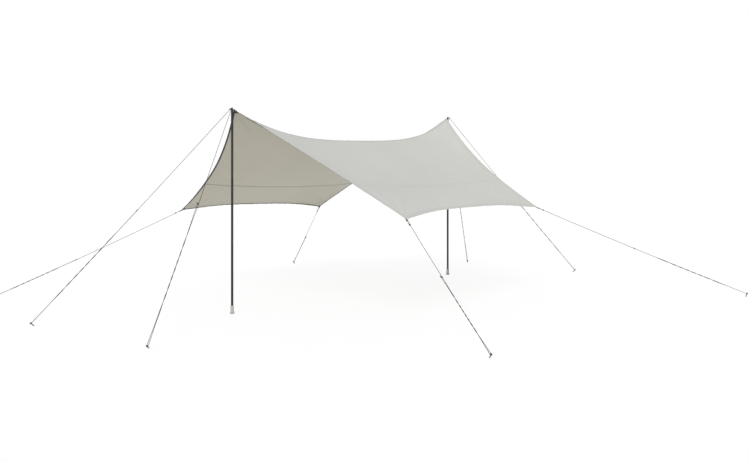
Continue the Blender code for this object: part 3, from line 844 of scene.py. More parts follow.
def cloth_finish(name, colour, thread, painted_light_and_shade, side):
    """Plain woven cloth: crossing threads, their hollows a little darker as painted shade, slubs
    along both, a cloudy tone, rows of stitches, and the painted light and shade of hems, bends,
    seams, puckers and low parts."""
    hem_painted_shade, bend_painted_shade, seam_painted_light_and_shade, pucker_painted_shade, low_painted_light_and_shade = painted_light_and_shade
    rough, sheen = side
    finish = Finish(name, colour, rough)
    where, across, along = finish.uv()
    cloudy = finish.noise(finish.here(), 1.1, 4.0)
    weft = finish.noise(where, 1.0, 2.0, (18.0, 900.0, 1.0))
    warp = finish.noise(where, 1.0, 2.0, (900.0, 18.0, 1.0))
    threads = finish.times(finish.wave(across, thread), finish.wave(along, thread))
    shade = finish.ramp(cloudy, 0.25, 0.75, 0.975, 1.025)
    shade = finish.times(shade, finish.ramp(weft, 0.2, 0.8, 0.985, 1.015))
    shade = finish.times(shade, finish.ramp(warp, 0.2, 0.8, 0.985, 1.015))
    # Painted shade: the weave's hollows, where its bump sinks, a little darker.
    shade = finish.times(shade, finish.ramp(threads, -1, 1, 0.985, 1.015))
    edge, ridge = finish.attribute("from_edge"), finish.attribute("from_ridge")
    beside = finish.math("ABSOLUTE", finish.attribute("from_seam"))
    # Painted light and shade by the given shares: of the double hem, of the bend beside it, of the
    # low parts, of a felled seam's double layer, of the puckers along it and of the ridge's seam.
    hem = finish.ramp(edge, *PAINTED_HEM_FADE, hem_painted_shade, 1.0)
    bend = finish.ramp(finish.band(edge, *PAINTED_BEND_BAND), 0, 1, 1.0, bend_painted_shade)
    low = finish.ramp(ridge, *PAINTED_LOW_FADE, 1.0, low_painted_light_and_shade)
    felled = finish.ramp(beside, *PAINTED_SEAM_FADE, seam_painted_light_and_shade, 1.0)
    puckered = finish.ramp(beside, *PAINTED_PUCKER_FADE, pucker_painted_shade, 1.0)
    crest = finish.ramp(ridge, *PAINTED_CREST_FADE, (1 + seam_painted_light_and_shade) / 2, 1.0)
    shade = reduce(finish.times, (shade, hem, bend, low, felled, puckered, crest))
    stitch = finish.most((
        sewn_rows(finish, edge, HEM_STITCHES, finish.plus(across, along)),
        sewn_rows(finish, beside, SEAM_STITCHES, along),
        sewn_rows(finish, ridge, RIDGE_STITCHES, along),
    ))
    shade = finish.times(shade, finish.ramp(stitch, 0, 1, 1.0, 0.86))
    finish.paint(finish.shaded(colour, shade))
    height = finish.plus(finish.times(threads, 0.25), finish.times(stitch, 1.5))
    finish.relief(finish.plus(height, finish.times(finish.plus(weft, warp), 0.5)), 0.00018)
    finish.shader.inputs["Sheen Weight"].default_value = sheen
    finish.shader.inputs["Sheen Roughness"].default_value = 0.5
    finish.shader.inputs["Specular IOR Level"].default_value = 0.25
    return finish.material


def webbing_finish(name, colour):
    """Flat woven tape: slanting ribs with painted shade in their grooves, a cloudy fade and
    slightly lighter worn threads.
    """
    finish = Finish(name, colour, 0.78)
    where, across, along = finish.uv()
    ribs = finish.times(finish.wave(finish.plus(across, along), 0.0022),
                        finish.wave(finish.math("SUBTRACT", across, along), 0.0022))
    fade = finish.ramp(finish.noise(finish.here(), 14.0, 4.0), 0.3, 0.7, 0.8, 1.5)
    worn = finish.ramp(finish.noise(where, 700.0, 2.0), 0.55, 0.8, 1.0, 2.2)
    # Painted shade: the ribs' grooves, where the bump sinks, darker.
    shade = finish.times(fade, finish.ramp(ribs, -1, 1, 0.75, 1.25))
    finish.paint(finish.shaded(colour, finish.times(shade, worn)))
    finish.relief(finish.ramp(ribs, -1, 1), 0.0004)
    finish.shader.inputs["Sheen Weight"].default_value = 0.15
    return finish.material


def tube_finish(name, colour):
    """Painted steel tube: fine orange peel, long faint scratches, and rubbed rings at joints."""
    finish = Finish(name, colour, 0.42)
    where = finish.here()
    height = finish.node("SeparateXYZ", {0: where}).outputs["Z"]
    scratches = finish.noise(where, 1.0, 3.0, (420.0, 420.0, 6.0))
    mottle = finish.ramp(finish.noise(where, 55.0, 3.0), 0.3, 0.7, 0.9, 1.15)
    rings = finish.most(finish.band(height, joint, 0.004, 0.03) for joint in SECTION_JOINTS)
    rubbed = finish.times(rings, finish.ramp(finish.noise(where, 90.0, 5.0), 0.5, 0.62))
    tone = finish.times(finish.ramp(scratches, 0.3, 0.8, 0.8, 1.5), mottle)
    paint = finish.shaded(colour, tone)
    finish.paint(finish.mix(finish.times(rubbed, 0.6), paint, RUBBED_METAL))
    finish.rough(finish.ramp(scratches, 0.25, 0.8, 0.34, 0.52))
    finish.relief(finish.noise(where, 900.0, 1.0), 0.00006)
    finish.shader.inputs["Metallic"].default_value = 0.2
    return finish.material


def steel_finish(name, colour):
    """Dull plated steel: soft spangle, brushed streaks and darker dirt."""
    finish = Finish(name, colour, 0.4, 1.0)
    where = finish.here()
    spangle = finish.node("TexVoronoi", {"Vector": where, "Scale": 260.0}).outputs["Color"]
    grey = finish.node("RGBToBW", {0: spangle}).outputs[0]
    dirt = finish.ramp(finish.noise(where, 120.0, 5.0), 0.45, 0.7, 1.0, 0.55)
    tone = finish.times(finish.ramp(grey, 0.2, 0.8, 0.85, 1.15), dirt)
    finish.paint(finish.shaded(colour, tone))
    finish.rough(finish.ramp(finish.noise(where, 300.0, 4.0), 0.3, 0.7, 0.32, 0.58))
    finish.relief(finish.noise(where, 700.0, 3.0), 0.00012)
    return finish.material


def rubber_finish(name, colour):
    """Moulded rubber: fine grain, a cloudy bloom, and soil worked in near the ground."""
    finish = Finish(name, colour, 0.72)
    where = finish.here()
    height = finish.node("SeparateXYZ", {0: where}).outputs["Z"]
    grain = finish.noise(where, 1200.0, 2.0)
    bloom = finish.noise(where, 60.0, 4.0)
    soil = finish.times(finish.ramp(height, 0.004, 0.035, 1.0, 0.0), finish.ramp(bloom, 0.35, 0.65))
    speckle = finish.ramp(grain, 0.3, 0.7, 0.97, 1.03)
    tone = finish.times(finish.ramp(bloom, 0.3, 0.7, 0.92, 1.06), speckle)
    finish.paint(finish.mix(finish.times(soil, 0.45), finish.shaded(colour, tone), SOIL_COLOUR))
    finish.rough(finish.ramp(bloom, 0.3, 0.7, 0.64, 0.82))
    finish.relief(grain, 0.0001)
    return finish.material


def rope_finish(name, colour, fleck, braid):
    """Braided rope: diamonds from two crossing sets of strands, some of them lighter, with painted
    shade in the grooves between strands.
    """
    finish = Finish(name, colour, 0.85)
    where, along, around = finish.uv()
    pitch = 2 * math.pi * ROPE_RADIUS / 4
    lean = finish.times(around, 1 / pitch)
    march = finish.times(along, 1 / braid)
    one_way, other_way = finish.plus(march, lean), finish.math("SUBTRACT", march, lean)
    left, right = (
        finish.math("SINE", finish.times(way, math.pi)) for way in (one_way, other_way)
    )
    diamonds = finish.math("ABSOLUTE", finish.times(left, right))
    tracer = finish.math("SINE", finish.times(one_way, math.pi / 4))
    tracer = finish.ramp(tracer, 0.8, 0.95)
    fuzz = finish.ramp(finish.noise(where, 900.0, 3.0), 0.3, 0.7, 0.85, 1.15)
    # Painted shade: the grooves between strands, where the bump sinks, darker.
    tone = finish.times(finish.ramp(diamonds, 0, 1, 0.6, 1.25), fuzz)
    finish.paint(finish.shaded(finish.mix(finish.times(tracer, 0.7), colour, fleck), tone))
    finish.relief(diamonds, 0.0005)
    finish.shader.inputs["Sheen Weight"].default_value = 0.05
    finish.shader.inputs["Specular IOR Level"].default_value = 0.2
    return finish.material


def plastic_finish(name, colour):
    """Moulded plastic: fine grain, and paler where it is handled."""
    finish = Finish(name, colour, 0.5)
    where = finish.here()
    grain = finish.noise(where, 1500.0, 2.0)
    handled = finish.noise(where, 180.0, 3.0)
    finish.paint(finish.shaded(colour, finish.ramp(handled, 0.3, 0.75, 0.8, 1.9)))
    finish.rough(finish.ramp(handled, 0.3, 0.7, 0.4, 0.6))
    finish.relief(grain, 0.00008)
    return finish.material


def finish_of(name, make, *values):
    """The material of this name, made when it is first asked for."""
    return bpy.data.materials.get(name) or make(name, *values)


def webbing():
    """The black woven tape of the edges, loops and straps."""
    tape = tuple(bpy.context.scene.tarp_cloth.tape)
    return finish_of("black_webbing_weave", webbing_finish, tape)


def cloth_sides():
    """The canopy's outer and inner finish."""
    cloth = bpy.context.scene.tarp_cloth
    sides = (
        ("cloth_top", cloth.top, TOP_PAINTED_LIGHT_AND_SHADE, OUTER_SIDE),
        ("cloth_underside", cloth.underside, UNDERSIDE_PAINTED_SHADE, COATED_SIDE),
    )
    return tuple(
        finish_of(name, cloth_finish, tuple(colour), cloth.thread, painted_light_and_shade, side)
        for name, colour, painted_light_and_shade, side in sides
    )


def ridge_cloth(name):
    """The outer cloth of the ridge seam's cover and of the straps' facing."""
    return finish_of(name, cloth_finish, RIDGE_COLOUR, THREAD, NO_PAINTED_LIGHT, OUTER_SIDE)


def rope_material():
    """The guy ropes' braid."""
    ropes = bpy.context.scene.tarp_ropes
    colours = tuple(ropes.rope), tuple(ropes.fleck)
    return finish_of("grey_rope_braid", rope_finish, *colours, ropes.braid)


def bright_steel():
    """The steel of the peaks' eyelets."""
    return finish_of("bright_steel", steel_finish, EYELET_COLOUR)


def steel_material():
    """The steel of the pins and pegs."""
    return finish_of("plated_steel", steel_finish, tuple(bpy.context.scene.tarp_ropes.peg))


# Canopy pieces


def canopy_attributes(canopy, used, span=...):
    """Distances that the cloth's finish reads, for the top's and the bottom's points."""
    values = {
        "from_edge": canopy.from_edge,
        "from_seam": canopy.from_seam,
        "from_ridge": canopy.across,
    }
    return {name: np.tile(value[span].ravel()[used], 2) for name, value in values.items()}


def make_canopy_sheet(canopy, cloth):
    """The whole canopy as one closed sheet, thicker along its hems and its felled seams."""
    hem = canopy.from_edge < (HEM_LINES[2] + GAP)
    felled = np.abs(canopy.from_seam) < SEAM_HALF + SEAM_STEP / 2
    rise = HEM_RISE * hem + SEAM_RISE * felled
    drop = cloth.thickness + HEM_DROP * hem + SEAM_RISE * felled
    top, bottom = canopy.layer(rise), canopy.layer(-drop)
    points, faces, uv, used = closed_sheet(top, bottom, [canopy.cells()], canopy.uv)
    which = np.concatenate([np.full(len(group), kind) for group, kind in zip(faces, (0, 1, 0))])
    attributes = canopy_attributes(canopy, used)
    return piece("canopy", points, faces, uv, cloth_sides(), which, attributes, sharp=180)


def corner_faces(width, row, step, column, stride, count, first=0):
    """A triangle of a grid at a corner: whole cells, then half cells along its long side, from the
    first line in from each edge."""
    i, j = np.meshgrid(np.arange(first, count), np.arange(first, count), indexing="ij")

    def index(di, dj):
        return (row + step * (i + di)) * width + column + stride * (j + dj)

    start = np.minimum(index(0, 0), index(1, 0)) - (stride < 0)
    quads = np.stack((start, start + 1, start + width + 1, start + width), -1)
    halves = np.stack((index(0, 0), index(0, 1), index(1, 0)), -1)[i + j == count - 1]
    return [quads[i + j < count - 1], halves if step * stride > 0 else halves[:, ::-1]]


def between(values, rows, columns):
    """A grid's values at places between its lines: the four nearest, each by its share."""
    i, j = np.floor(rows).astype(int), np.floor(columns).astype(int)
    s, t = (rows - i)[..., None], (columns - j)[..., None]
    near = (1 - t) * values[i, j] + t * values[i, j + 1]
    return (1 - s) * near + s * ((1 - t) * values[i + 1, j] + t * values[i + 1, j + 1])


def peak_gussets(canopy, top, bottom):
    """A triangle of tape under each peak, folded along the ridge, in even cells of its own."""
    count = PEAK_GUSSET_CELLS
    lines = np.arange(PATCH_CELLS + len(HEM_LINES))
    cells = PEAK_GUSSET * np.arange(count + 1) / count
    deep = np.interp(HEM_LINES[TAPE_LINE] + GAP + cells, patch_lines(HEM_LINES), lines)
    wide = np.interp(cells, patch_lines(RIDGE_LINES), lines)
    wide = canopy.ridge + np.concatenate((-wide[:0:-1], wide))
    faces = [
        group for stride in (1, -1)
        for group in corner_faces(2 * count + 1, 0, 1, count, stride, count)
    ]
    parts = []
    for row, step in ((0, 1), (canopy.across.shape[0] - 1, -1)):
        where = np.meshgrid(row + step * deep, wide, indexing="ij")
        grids = [between(values, *where) for values in (top, bottom, canopy.uv)]
        turned = [group[:, ::step] for group in faces]
        parts.append(closed_sheet(grids[0], grids[1], turned, grids[2])[:3])
    return parts


def make_edge_tape(canopy):
    """Tape sewn under all six edges, just inside them, with a gusset of the same stuff across each
    side corner and a smaller one under each peak."""
    top = canopy.layer(TAPE_TOP)
    bottom = canopy.layer(TAPE_TOP - TAPE_THICKNESS)
    rows, columns = canopy.across.shape[0] - 1, canopy.across.shape[1] - 1
    i, j = np.meshgrid(np.arange(rows), np.arange(columns), indexing="ij")
    i, j = np.minimum(i, rows - 1 - i), np.minimum(j, columns - 1 - j)
    faces = [canopy.cells((np.minimum(i, j) < TAPE_LINE) & (np.minimum(i, j) > 0))]
    for row, step in ((0, 1), (rows, -1)):
        for column, stride in ((0, 1), (columns, -1)):
            faces += corner_faces(columns + 1, row, step, column, stride, GUSSET_CELLS, TAPE_LINE)
    parts = [closed_sheet(top, bottom, faces, canopy.uv)[:3], *peak_gussets(canopy, top, bottom)]
    return piece("edge_tape", *joined(parts), [webbing()], sharp=50)


def make_ridge_cover(canopy):
    """The strip that covers the ridge seam on the outer side."""
    span = (slice(None), slice(canopy.ridge - TAPE_LINE, canopy.ridge + TAPE_LINE + 1))
    top = canopy.layer(RIDGE_TAPE_GAP + RIDGE_TAPE_THICKNESS)[span]
    bottom = canopy.layer(RIDGE_TAPE_GAP)[span]
    quads = grid_quads(top.shape[:2])
    points, faces, uv, used = closed_sheet(top, bottom, [quads], canopy.uv[span])
    attributes = canopy_attributes(canopy, used, span)
    cover = ridge_cloth("ridge_cover_cloth")
    return piece("ridge_cover", points, faces, uv, [cover], attributes=attributes, sharp=50)


def make_reinforcements(canopy):
    """A second layer of cloth under each corner and each peak."""
    top = canopy.layer(PATCH_TOP)
    bottom = canopy.layer(PATCH_TOP - PATCH_THICKNESS)
    rows, width = canopy.across.shape
    # The patches' cloth is painted a little darker than the underside, as shade of the double
    # layer.
    looks = PATCH_COLOUR_WITH_PAINTED_SHADE, THREAD, PATCH_PAINTED_SHADE, COATED_SIDE
    under = finish_of("patch_cloth_weave", cloth_finish, *looks)
    count = len(patch_lines(HEM_LINES)) - 1
    for end, row, step in (("near", 0, 1), ("far", rows - 1, -1)):
        right, left, left_corner, right_corner = (
            corner_faces(width, row, step, column, stride, count)
            for column, stride in ((canopy.ridge, 1), (canopy.ridge, -1), (0, 1), (width - 1, -1))
        )
        for name, faces in (
            (end + "_peak", right + left),
            ("left_" + end, left_corner),
            ("right_" + end, right_corner),
        ):
            points, groups, uv, used = closed_sheet(top, bottom, faces, canopy.uv)
            thing = piece(
                name + "_reinforcement", points, groups, uv, [under],
                attributes=canopy_attributes(canopy, used), sharp=50,
            )
            settle(thing, "patch_cloth", name + "_patch")


# Webbing


def bar_tack(middle, across, along, outward):
    """A zigzag of thread that fastens webbing: it swings to both sides of a line across the webbing
    while it moves on slowly along that line."""
    share = np.linspace(0, 1, TACK_TURNS * 2 + 1)
    swing = np.where(np.arange(len(share)) % 2 == 0, -1.0, 1.0) * TACK_WIDTH / 2
    reach = (share - 0.5) * LOOP_WIDTH * TACK_SHARE
    path = middle + swing[:, None] * along + reach[:, None] * across
    return sweep(path, outward, circle(TACK_THREAD, 6))


def face_upward(thing):
    """Gives a piece's second finish to the faces that look up."""
    normals = np.empty(3 * len(thing.data.polygons))
    thing.data.polygons.foreach_get("normal", normals)
    thing.data.polygons.foreach_set("material_index", (normals[2::3] > 0.3).astype(np.int32))


def eyelet_profile():
    """A rolled steel ring round the strap's hole, as the (radius, height) of its section's
    corners."""
    top, bottom = TAB / 2 + 0.0002, -TAB / 2 - 0.0006
    return [
        (0.0049, bottom + 0.0005), (0.0055, bottom), (0.0085, bottom + 0.0001),
        (0.0093, bottom + 0.0005), (0.0085, bottom + 0.0007), (0.0060, bottom + 0.0007),
        (0.0060, top - 0.0002), (0.0082, top - 0.0002), (0.0088, top - 0.00005),
        (0.0082, top), (0.0056, top), (0.0049, top - 0.0006),
    ]


def make_eyelet(end, centre):
    """The profile turned about the pin, its last ring joined to its first."""
    profile = eyelet_profile()
    points, faces, uv = lathe([*profile, profile[0]], EYELET_SIDES, centre)
    points = points[:-EYELET_SIDES]
    sides = faces[0] % len(points)
    ring = piece(
        end + "_peak_eyelet", points, [sides], uv[: 4 * len(sides)], [bright_steel()], sharp=60
    )
    settle(ring, "steel")


def make_peak_webbing(canopy, end):
    """A strap, faced with cloth, that lies flat round the pin and then follows the ridge down,
    folded over it, with its stitching and a steel eyelet."""
    outward = 1 if end == "far" else -1
    pole = outward * POLE_Y
    middle = TAB_UNDERSIDE + TAB / 2
    across = np.array((1.0, 0, 0))
    crest = canopy.layer(RIDGE_TAPE_GAP + RIDGE_TAPE_THICKNESS + 4 * GAP + TAB / 2)[::-outward]
    inside = RIDGE_END_Y - outward * crest[:, canopy.ridge, 1]
    crest = crest[(inside > TAB_SEWN_FROM) & (inside < TAB_LENGTH)]
    down_line = crest[:, canopy.ridge]
    beside = crest[:, canopy.ridge + TAPE_LINE]
    fall = ((down_line - beside)[:, 2] / beside[:, 0]).mean()
    start = np.array((0, pole + outward * TAB_OUTER, middle))
    bend = np.array((0, outward * (RIDGE_END_Y + TAB_BEND), middle))
    path = smooth_path(np.concatenate((stretched(start, bend, 7), down_line)), 3)
    parts = [sweep(path, across, ribbon(TAB_WIDTH, TAB))]
    along = down_line[-1] - down_line[0]
    up = np.cross(across, unit(along)) * -outward
    for share in TAB_TACKS:
        at = down_line[0] + along * share + up * (TAB / 2)
        parts.append(bar_tack(at, across, unit(along), up))
    for points, _, _ in parts:
        laid = np.clip((RIDGE_END_Y - np.abs(points[:, 1])) / TAB_FOLD, 0, 1)
        points[:, 2] -= fall * laid * np.abs(points[:, 0])
    strap, *tacks = parts
    facing = ridge_cloth("strap_facing_cloth")
    thing = piece(end + "_peak_webbing", *strap, [webbing(), facing], sharp=50)
    face_upward(thing)
    drill = [(TAB_HOLE, -TAB_DRILL), (TAB_HOLE, TAB_DRILL)]
    pierce(thing, [lathe(drill, 32, (0, pole, middle))])
    settle(thing, "black_webbing", end + "_peak_tab")
    tack = piece(end + "_peak_stitching", *joined(tacks), [facing], sharp=60)
    settle(tack, "black_webbing")
    make_eyelet(end, (0, pole, middle))


class CornerWebbing:
    """Where a webbing loop is sewn under a side corner, and which way its rope leaves."""

    def __init__(self, name):
        side, end = name.split("_")
        self.tip = corner_point(name)
        inside = LOOP_SPAN / (2 * CORNER_Y)
        u, u_inside = (0.0, inside) if end == "near" else (1.0, 1.0 - inside)
        shares = np.array(((u, 1 - LOOP_SPAN / USUAL_SLOPE), (u_inside, 1.0))).T
        along, across = half_surface(side, *shares) - self.tip
        normal = unit(np.cross(along, across))
        self.normal = normal if normal[2] > 0 else -normal
        self.peg = np.array((*CORNER_PEGS[name], 0.0))
        self.down = unit(self.peg - self.tip)
        self.side = unit(np.cross(self.down, self.normal))
        self.flat = np.cross(self.normal, self.side)
        self.bend = math.atan2(-self.down @ self.normal, self.down @ self.flat)
        self.under = -(UNDER_CLOTH * self.normal[2]) - GAP
        self.kink = np.array((LOOP_BEND, self.under - LOOP_BAR / 2))
        self.out = np.array((math.cos(self.bend), -math.sin(self.bend)))
        self.eye = self.kink + self.out * LOOP_REACH

    def world(self, flat_points):
        """Points of the loop's own plane, (outward, up from the cloth), in the row frame."""
        flat_points = np.atleast_2d(flat_points)
        return self.tip + flat_points[:, :1] * self.flat + flat_points[:, 1:] * self.normal


def make_corner_webbing(name):
    """Webbing folded round the rope: two straight layers that part into a ring at the eye."""
    spot = CornerWebbing(name)
    radius = LOOP_EYE + WEBBING / 2
    opening = math.asin((WEBBING / 2 + LAYER_GAP) / radius)
    turn = np.linspace(opening, 2 * math.pi - opening, 29)[:, None]
    upward = np.array((-spot.out[1], spot.out[0]))
    ring = spot.eye + radius * (np.sin(turn) * upward - np.cos(turn) * spot.out)
    high, low = spot.under - WEBBING / 2, spot.under - LOOP_BAR + WEBBING / 2
    sewn_from, lead = -LOOP_SEWN, spot.kink[0] - LOOP_LEAD
    inner = stretched(np.array((sewn_from, high)), np.array((lead, high)), 8)
    outer = stretched(np.array((lead, low)), np.array((sewn_from, low)), 8)
    path = spot.world(np.concatenate((inner, ring, outer)))
    strap = sweep(path, spot.side, ribbon(LOOP_WIDTH, WEBBING))
    thing = piece(name + "_corner_webbing", *strap, [webbing()], sharp=50)
    settle(thing, "black_webbing", name + "_corner_loop")
    tacks = [
        bar_tack(at, spot.side, spot.flat, -spot.normal)
        for at in spot.world([(-back, spot.under - LOOP_BAR) for back in LOOP_TACKS])
    ]
    tack = piece(name + "_corner_stitching", *joined(tacks), [webbing()], sharp=60)
    settle(tack, "black_webbing")


# Poles


def tube_profile(bottom, top, bead):
    """A tube's outer side with rounded rims, and a rolled bead near its lower end."""
    r = POLE_RADIUS
    profile = [(r - 0.0012, bottom), (r - 0.0003, bottom + 0.0003), (r, bottom + 0.0012)]
    if bead:
        steps = np.linspace(0, math.pi, 7)
        profile += [(r + 0.0007 * math.sin(t), bottom + 0.012 + 0.003 * t / math.pi) for t in steps]
    profile += [(r, top - 0.0012), (r - 0.0003, top - 0.0003), (r - 0.0012, top)]
    return profile


def push_button(y, height, facing):
    """The sprung button that locks two sections: a low dome on the tube's side."""
    steps = np.linspace(0, math.pi / 2, 5)
    dome = [(0.0036, -0.002)] + [(0.0036 * math.cos(t), 0.0016 * math.sin(t)) for t in steps[:-1]]
    dome.append((0.0004, 0.0016))
    out = np.array((math.cos(facing), math.sin(facing), 0))
    axes = np.array((np.cross(UP, out), UP, out))
    return lathe(dome, 16, np.array((0, y, height)) + out * POLE_RADIUS, axes)


def foot_profile():
    """A foot with a broad sole, a ribbed neck and a socket for the tube."""
    sole, neck, top = FOOT_RADIUS, FOOT_NECK, FOOT_HEIGHT
    profile = [
        (0.008, 0.0005), (sole - 0.003, 0.0), (sole - 0.0008, 0.0010), (sole, 0.003), (sole, 0.016),
        (sole - 0.0012, 0.019), (neck + 0.0025, 0.026), (neck, 0.034),
    ]
    for rib in np.arange(0.042, 0.080, 0.0095):
        profile += [(neck, rib), (neck + 0.0011, rib + 0.0012)]
        profile += [(neck + 0.0011, rib + 0.0034), (neck, rib + 0.0046)]
    return profile + [
        (neck, top - 0.0025), (neck - 0.0006, top - 0.0006), (neck - 0.002, top),
        (POLE_RADIUS + GAP, top - 0.0008), (POLE_RADIUS + GAP, FOOT_INSIDE),
    ]


def pin_profile(bottom, top):
    """A cap with a groove and a rounded shoulder, and the thin pin on it with its round tip."""
    steps = np.linspace(0, math.pi / 2, 6)[1:]
    r, tip = POLE_RADIUS, PIN_RADIUS - 0.0005
    profile = [
        (r - 0.0004, bottom), (r, bottom + 0.0006), (r, bottom + 0.010),
        (r - 0.0006, bottom + 0.0112), (r - 0.0006, bottom + 0.0135), (r, bottom + 0.0147),
        (r, top - 0.006),
    ]
    profile += [(r - 0.005 + 0.005 * math.cos(t), top - 0.006 + 0.006 * math.sin(t)) for t in steps]
    profile += [(PIN_RADIUS + 0.001, top), (PIN_RADIUS, top + 0.0012)]
    height = POLE_HEIGHT - 0.0035
    profile.append((tip + 0.0005, height))
    return profile + [(tip * math.cos(t) + 0.0005, height + 0.0035 * math.sin(t)) for t in steps]


def make_pole(end):
    """Three tube sections, a ribbed foot and a pin with a rounded shoulder."""
    poles = bpy.context.scene.tarp_poles
    y = POLE_Y if end == "far" else -POLE_Y
    centre = (0, y, 0)
    low, high = SECTION_JOINTS
    cap_top = TAB_UNDERSIDE - GAP
    cap_bottom = cap_top - CAP_HEIGHT
    tube = finish_of("dark_painted_tube", tube_finish, tuple(poles.tube))
    rubber = finish_of("light_grey_rubber", rubber_finish, tuple(poles.foot))
    sections = {
        "lower": (TUBE_BOTTOM, low, False),
        "middle": (low + GAP, high, True),
        "upper": (high + GAP, cap_bottom - GAP, True),
    }
    for label, (bottom, top, bead) in sections.items():
        parts = [lathe(tube_profile(bottom, top, bead), POLE_SIDES, centre)]
        if bead:
            parts.append(push_button(y, bottom + BUTTON_HEIGHT, BUTTON_FACING[end]))
        section = piece(f"{end}_pole_{label}_tube", *joined(parts), [tube], sharp=35)
        settle(section, "dark_tube", f"{end}_pole_{label}_section")
    shape = lathe(foot_profile(), POLE_SIDES, centre)
    foot = piece(end + "_pole_rubber_foot", *shape, [rubber], sharp=35)
    settle(foot, "grey_rubber", end + "_pole_foot")
    shape = lathe(pin_profile(cap_bottom, cap_top), PIN_SIDES, centre)
    pin = piece(end + "_pole_steel_pin", *shape, [steel_material()], sharp=35)
    settle(pin, "steel", end + "_pole_pin")


# Guy ropes


class Guy:
    """The line of one guy rope, from where it leaves its top fitting to its peg."""

    def __init__(self, name, start, peg, slider_at):
        self.name = name
        self.start = start
        ground = np.array((*peg, 0.0))
        lean = square_to(UP, unit(ground - start))
        self.peg_eye = ground + lean * ROPE_ON_PEG
        self.down = unit(self.peg_eye - start)
        self.lean = square_to(UP, self.down)
        self.side = np.cross(self.lean, self.down)
        self.length = np.linalg.norm(self.peg_eye - start)
        self.slider = start + self.down * (self.length * slider_at)
        self.seat = self.sag(self.slider[None])[0]
        self.foot = self.peg_eye - self.lean * ROPE_ON_PEG

    def sag(self, points):
        """The points let down by a parabola over the whole line: 4 s (1 - s) of its sag at the
        share s."""
        share = ((points - self.start) @ self.down)[:, None] / self.length
        return points - UP * (4 * ROPE_SAG) * share * (1 - share)

    def strand(self):
        """One of the two lower strands. Its distance from their middle narrows from the slider's
        holes until the two touch, and there it turns round the other: r (cos turn, sin turn)."""
        share = np.linspace(0, 1, STRAND_POINTS)[:, None]
        first = self.slider + self.down * STRANDS_BELOW_SLIDER
        middle = first + (self.peg_eye - self.down * STRANDS_ABOVE_PEG - first) * share
        close = np.clip(np.minimum(share, 1 - share) / TWIST_FROM, 0, 1)
        radius = LOOP_RADIUS + (STRANDS_TOUCH - LOOP_RADIUS) * close
        inside = np.clip((share - TWIST_FROM) / (1 - 2 * TWIST_FROM), 0, 1)
        turn = 2 * math.pi * TWISTS * inside**2 * (3 - 2 * inside)
        return middle, radius * (np.cos(turn) * self.side + np.sin(turn) * self.lean)

    def lower_run(self):
        """Down through the slider, round the peg's neck and back up to the slider."""
        side = self.side * LOOP_RADIUS
        t = np.linspace(0, 1, 25)[1:-1, None]
        upper = self.start + (self.slider - self.start) * t
        upper = upper + self.side * (STRAND + (LOOP_RADIUS - STRAND) * t**6)
        turn = np.linspace(0, math.pi, 17)[:, None]
        bend = self.peg_eye + side * np.cos(turn) + self.down * (LOOP_RADIUS * np.sin(turn))
        middle, off = self.strand()
        enter = self.slider - self.down * SLIDER_ENTRY + side
        leave = self.slider - self.down * ROPE_TAIL - side
        run = (upper, enter[None], middle + off, bend, (middle - off)[::-1], leave[None])
        return self.sag(np.concatenate(run))


def pole_guy(name):
    """The guy and the loop that it lays round a pole's pin."""
    level = 1 if name.endswith("right") else 0
    y = POLE_Y if name.startswith("far") else -POLE_Y
    peg = POLE_PEGS[name]
    height = TAB_UNDERSIDE + TAB + GAP + ROPE_RADIUS + level * ROPE_LEVEL
    pin = np.array((0, y, height))
    outward = unit(np.array((*peg, height)) - pin)
    guy = Guy(name, pin + outward * POLE_LOOP, peg, POLE_SLIDERS[name])
    around = PIN_RADIUS + GAP + ROPE_RADIUS
    turn = np.linspace(0, math.pi, 9)[:, None]
    bend = pin - around * (guy.side * np.cos(turn) + outward * np.sin(turn))
    tail = guy.start + guy.down * POLE_LOOP_TAIL - guy.side * STRAND
    off = guy.side * POLE_LOOP_HALF
    loop = np.concatenate(([tail, guy.start - off], bend, [guy.start + off]))
    return guy, smooth_path(loop, 3), guy.start + guy.down * POLE_KNOT


def corner_guy(name):
    """The guy and the loop that it ties through a corner's webbing: points at distances down the
    rope, to its side and to the eye's side, and the same on the other side with both turned."""
    spot = CornerWebbing(name)
    centre = spot.world(spot.eye)[0]
    start = centre + spot.down * CORNER_LOOP
    guy = Guy(name + "_corner", start, CORNER_PEGS[name], CORNER_SLIDERS[name])
    eye_side = -spot.side if spot.side @ guy.side < 0 else spot.side
    reach = LOOP_WIDTH / 2 + 0.0015
    half = np.array([
        (0, 0, reach),
        (0.003, 0, 0.0145),
        (0.012, 0, 0.0135),
        (0.030, 0.003, 0.003),
        (0.050, STRAND, 0),
        (0.075, STRAND, 0),
    ])
    shares = np.concatenate((half[::-1] * (1, -1, -1), np.zeros((1, 3)), half[:-1]))
    loop = centre + shares @ np.array((guy.down, guy.side, eye_side))
    return guy, smooth_path(loop, 3), guy.start + guy.down * CORNER_KNOT


def coil(middle, axis, beside, turns, radius):
    """Rope wound round a line: radius (cos, sin) round it while it moves on by a rope's width each
    turn."""
    turn = np.linspace(0, 2 * math.pi * turns, int(18 * turns) + 1)[:, None]
    other = np.cross(axis, beside)
    along = (turn / (2 * math.pi) - turns / 2) * COIL_STEP
    path = middle + axis * along + radius * (np.cos(turn) * beside + np.sin(turn) * other)
    return sweep(path, axis, circle(ROPE_RADIUS, 10))


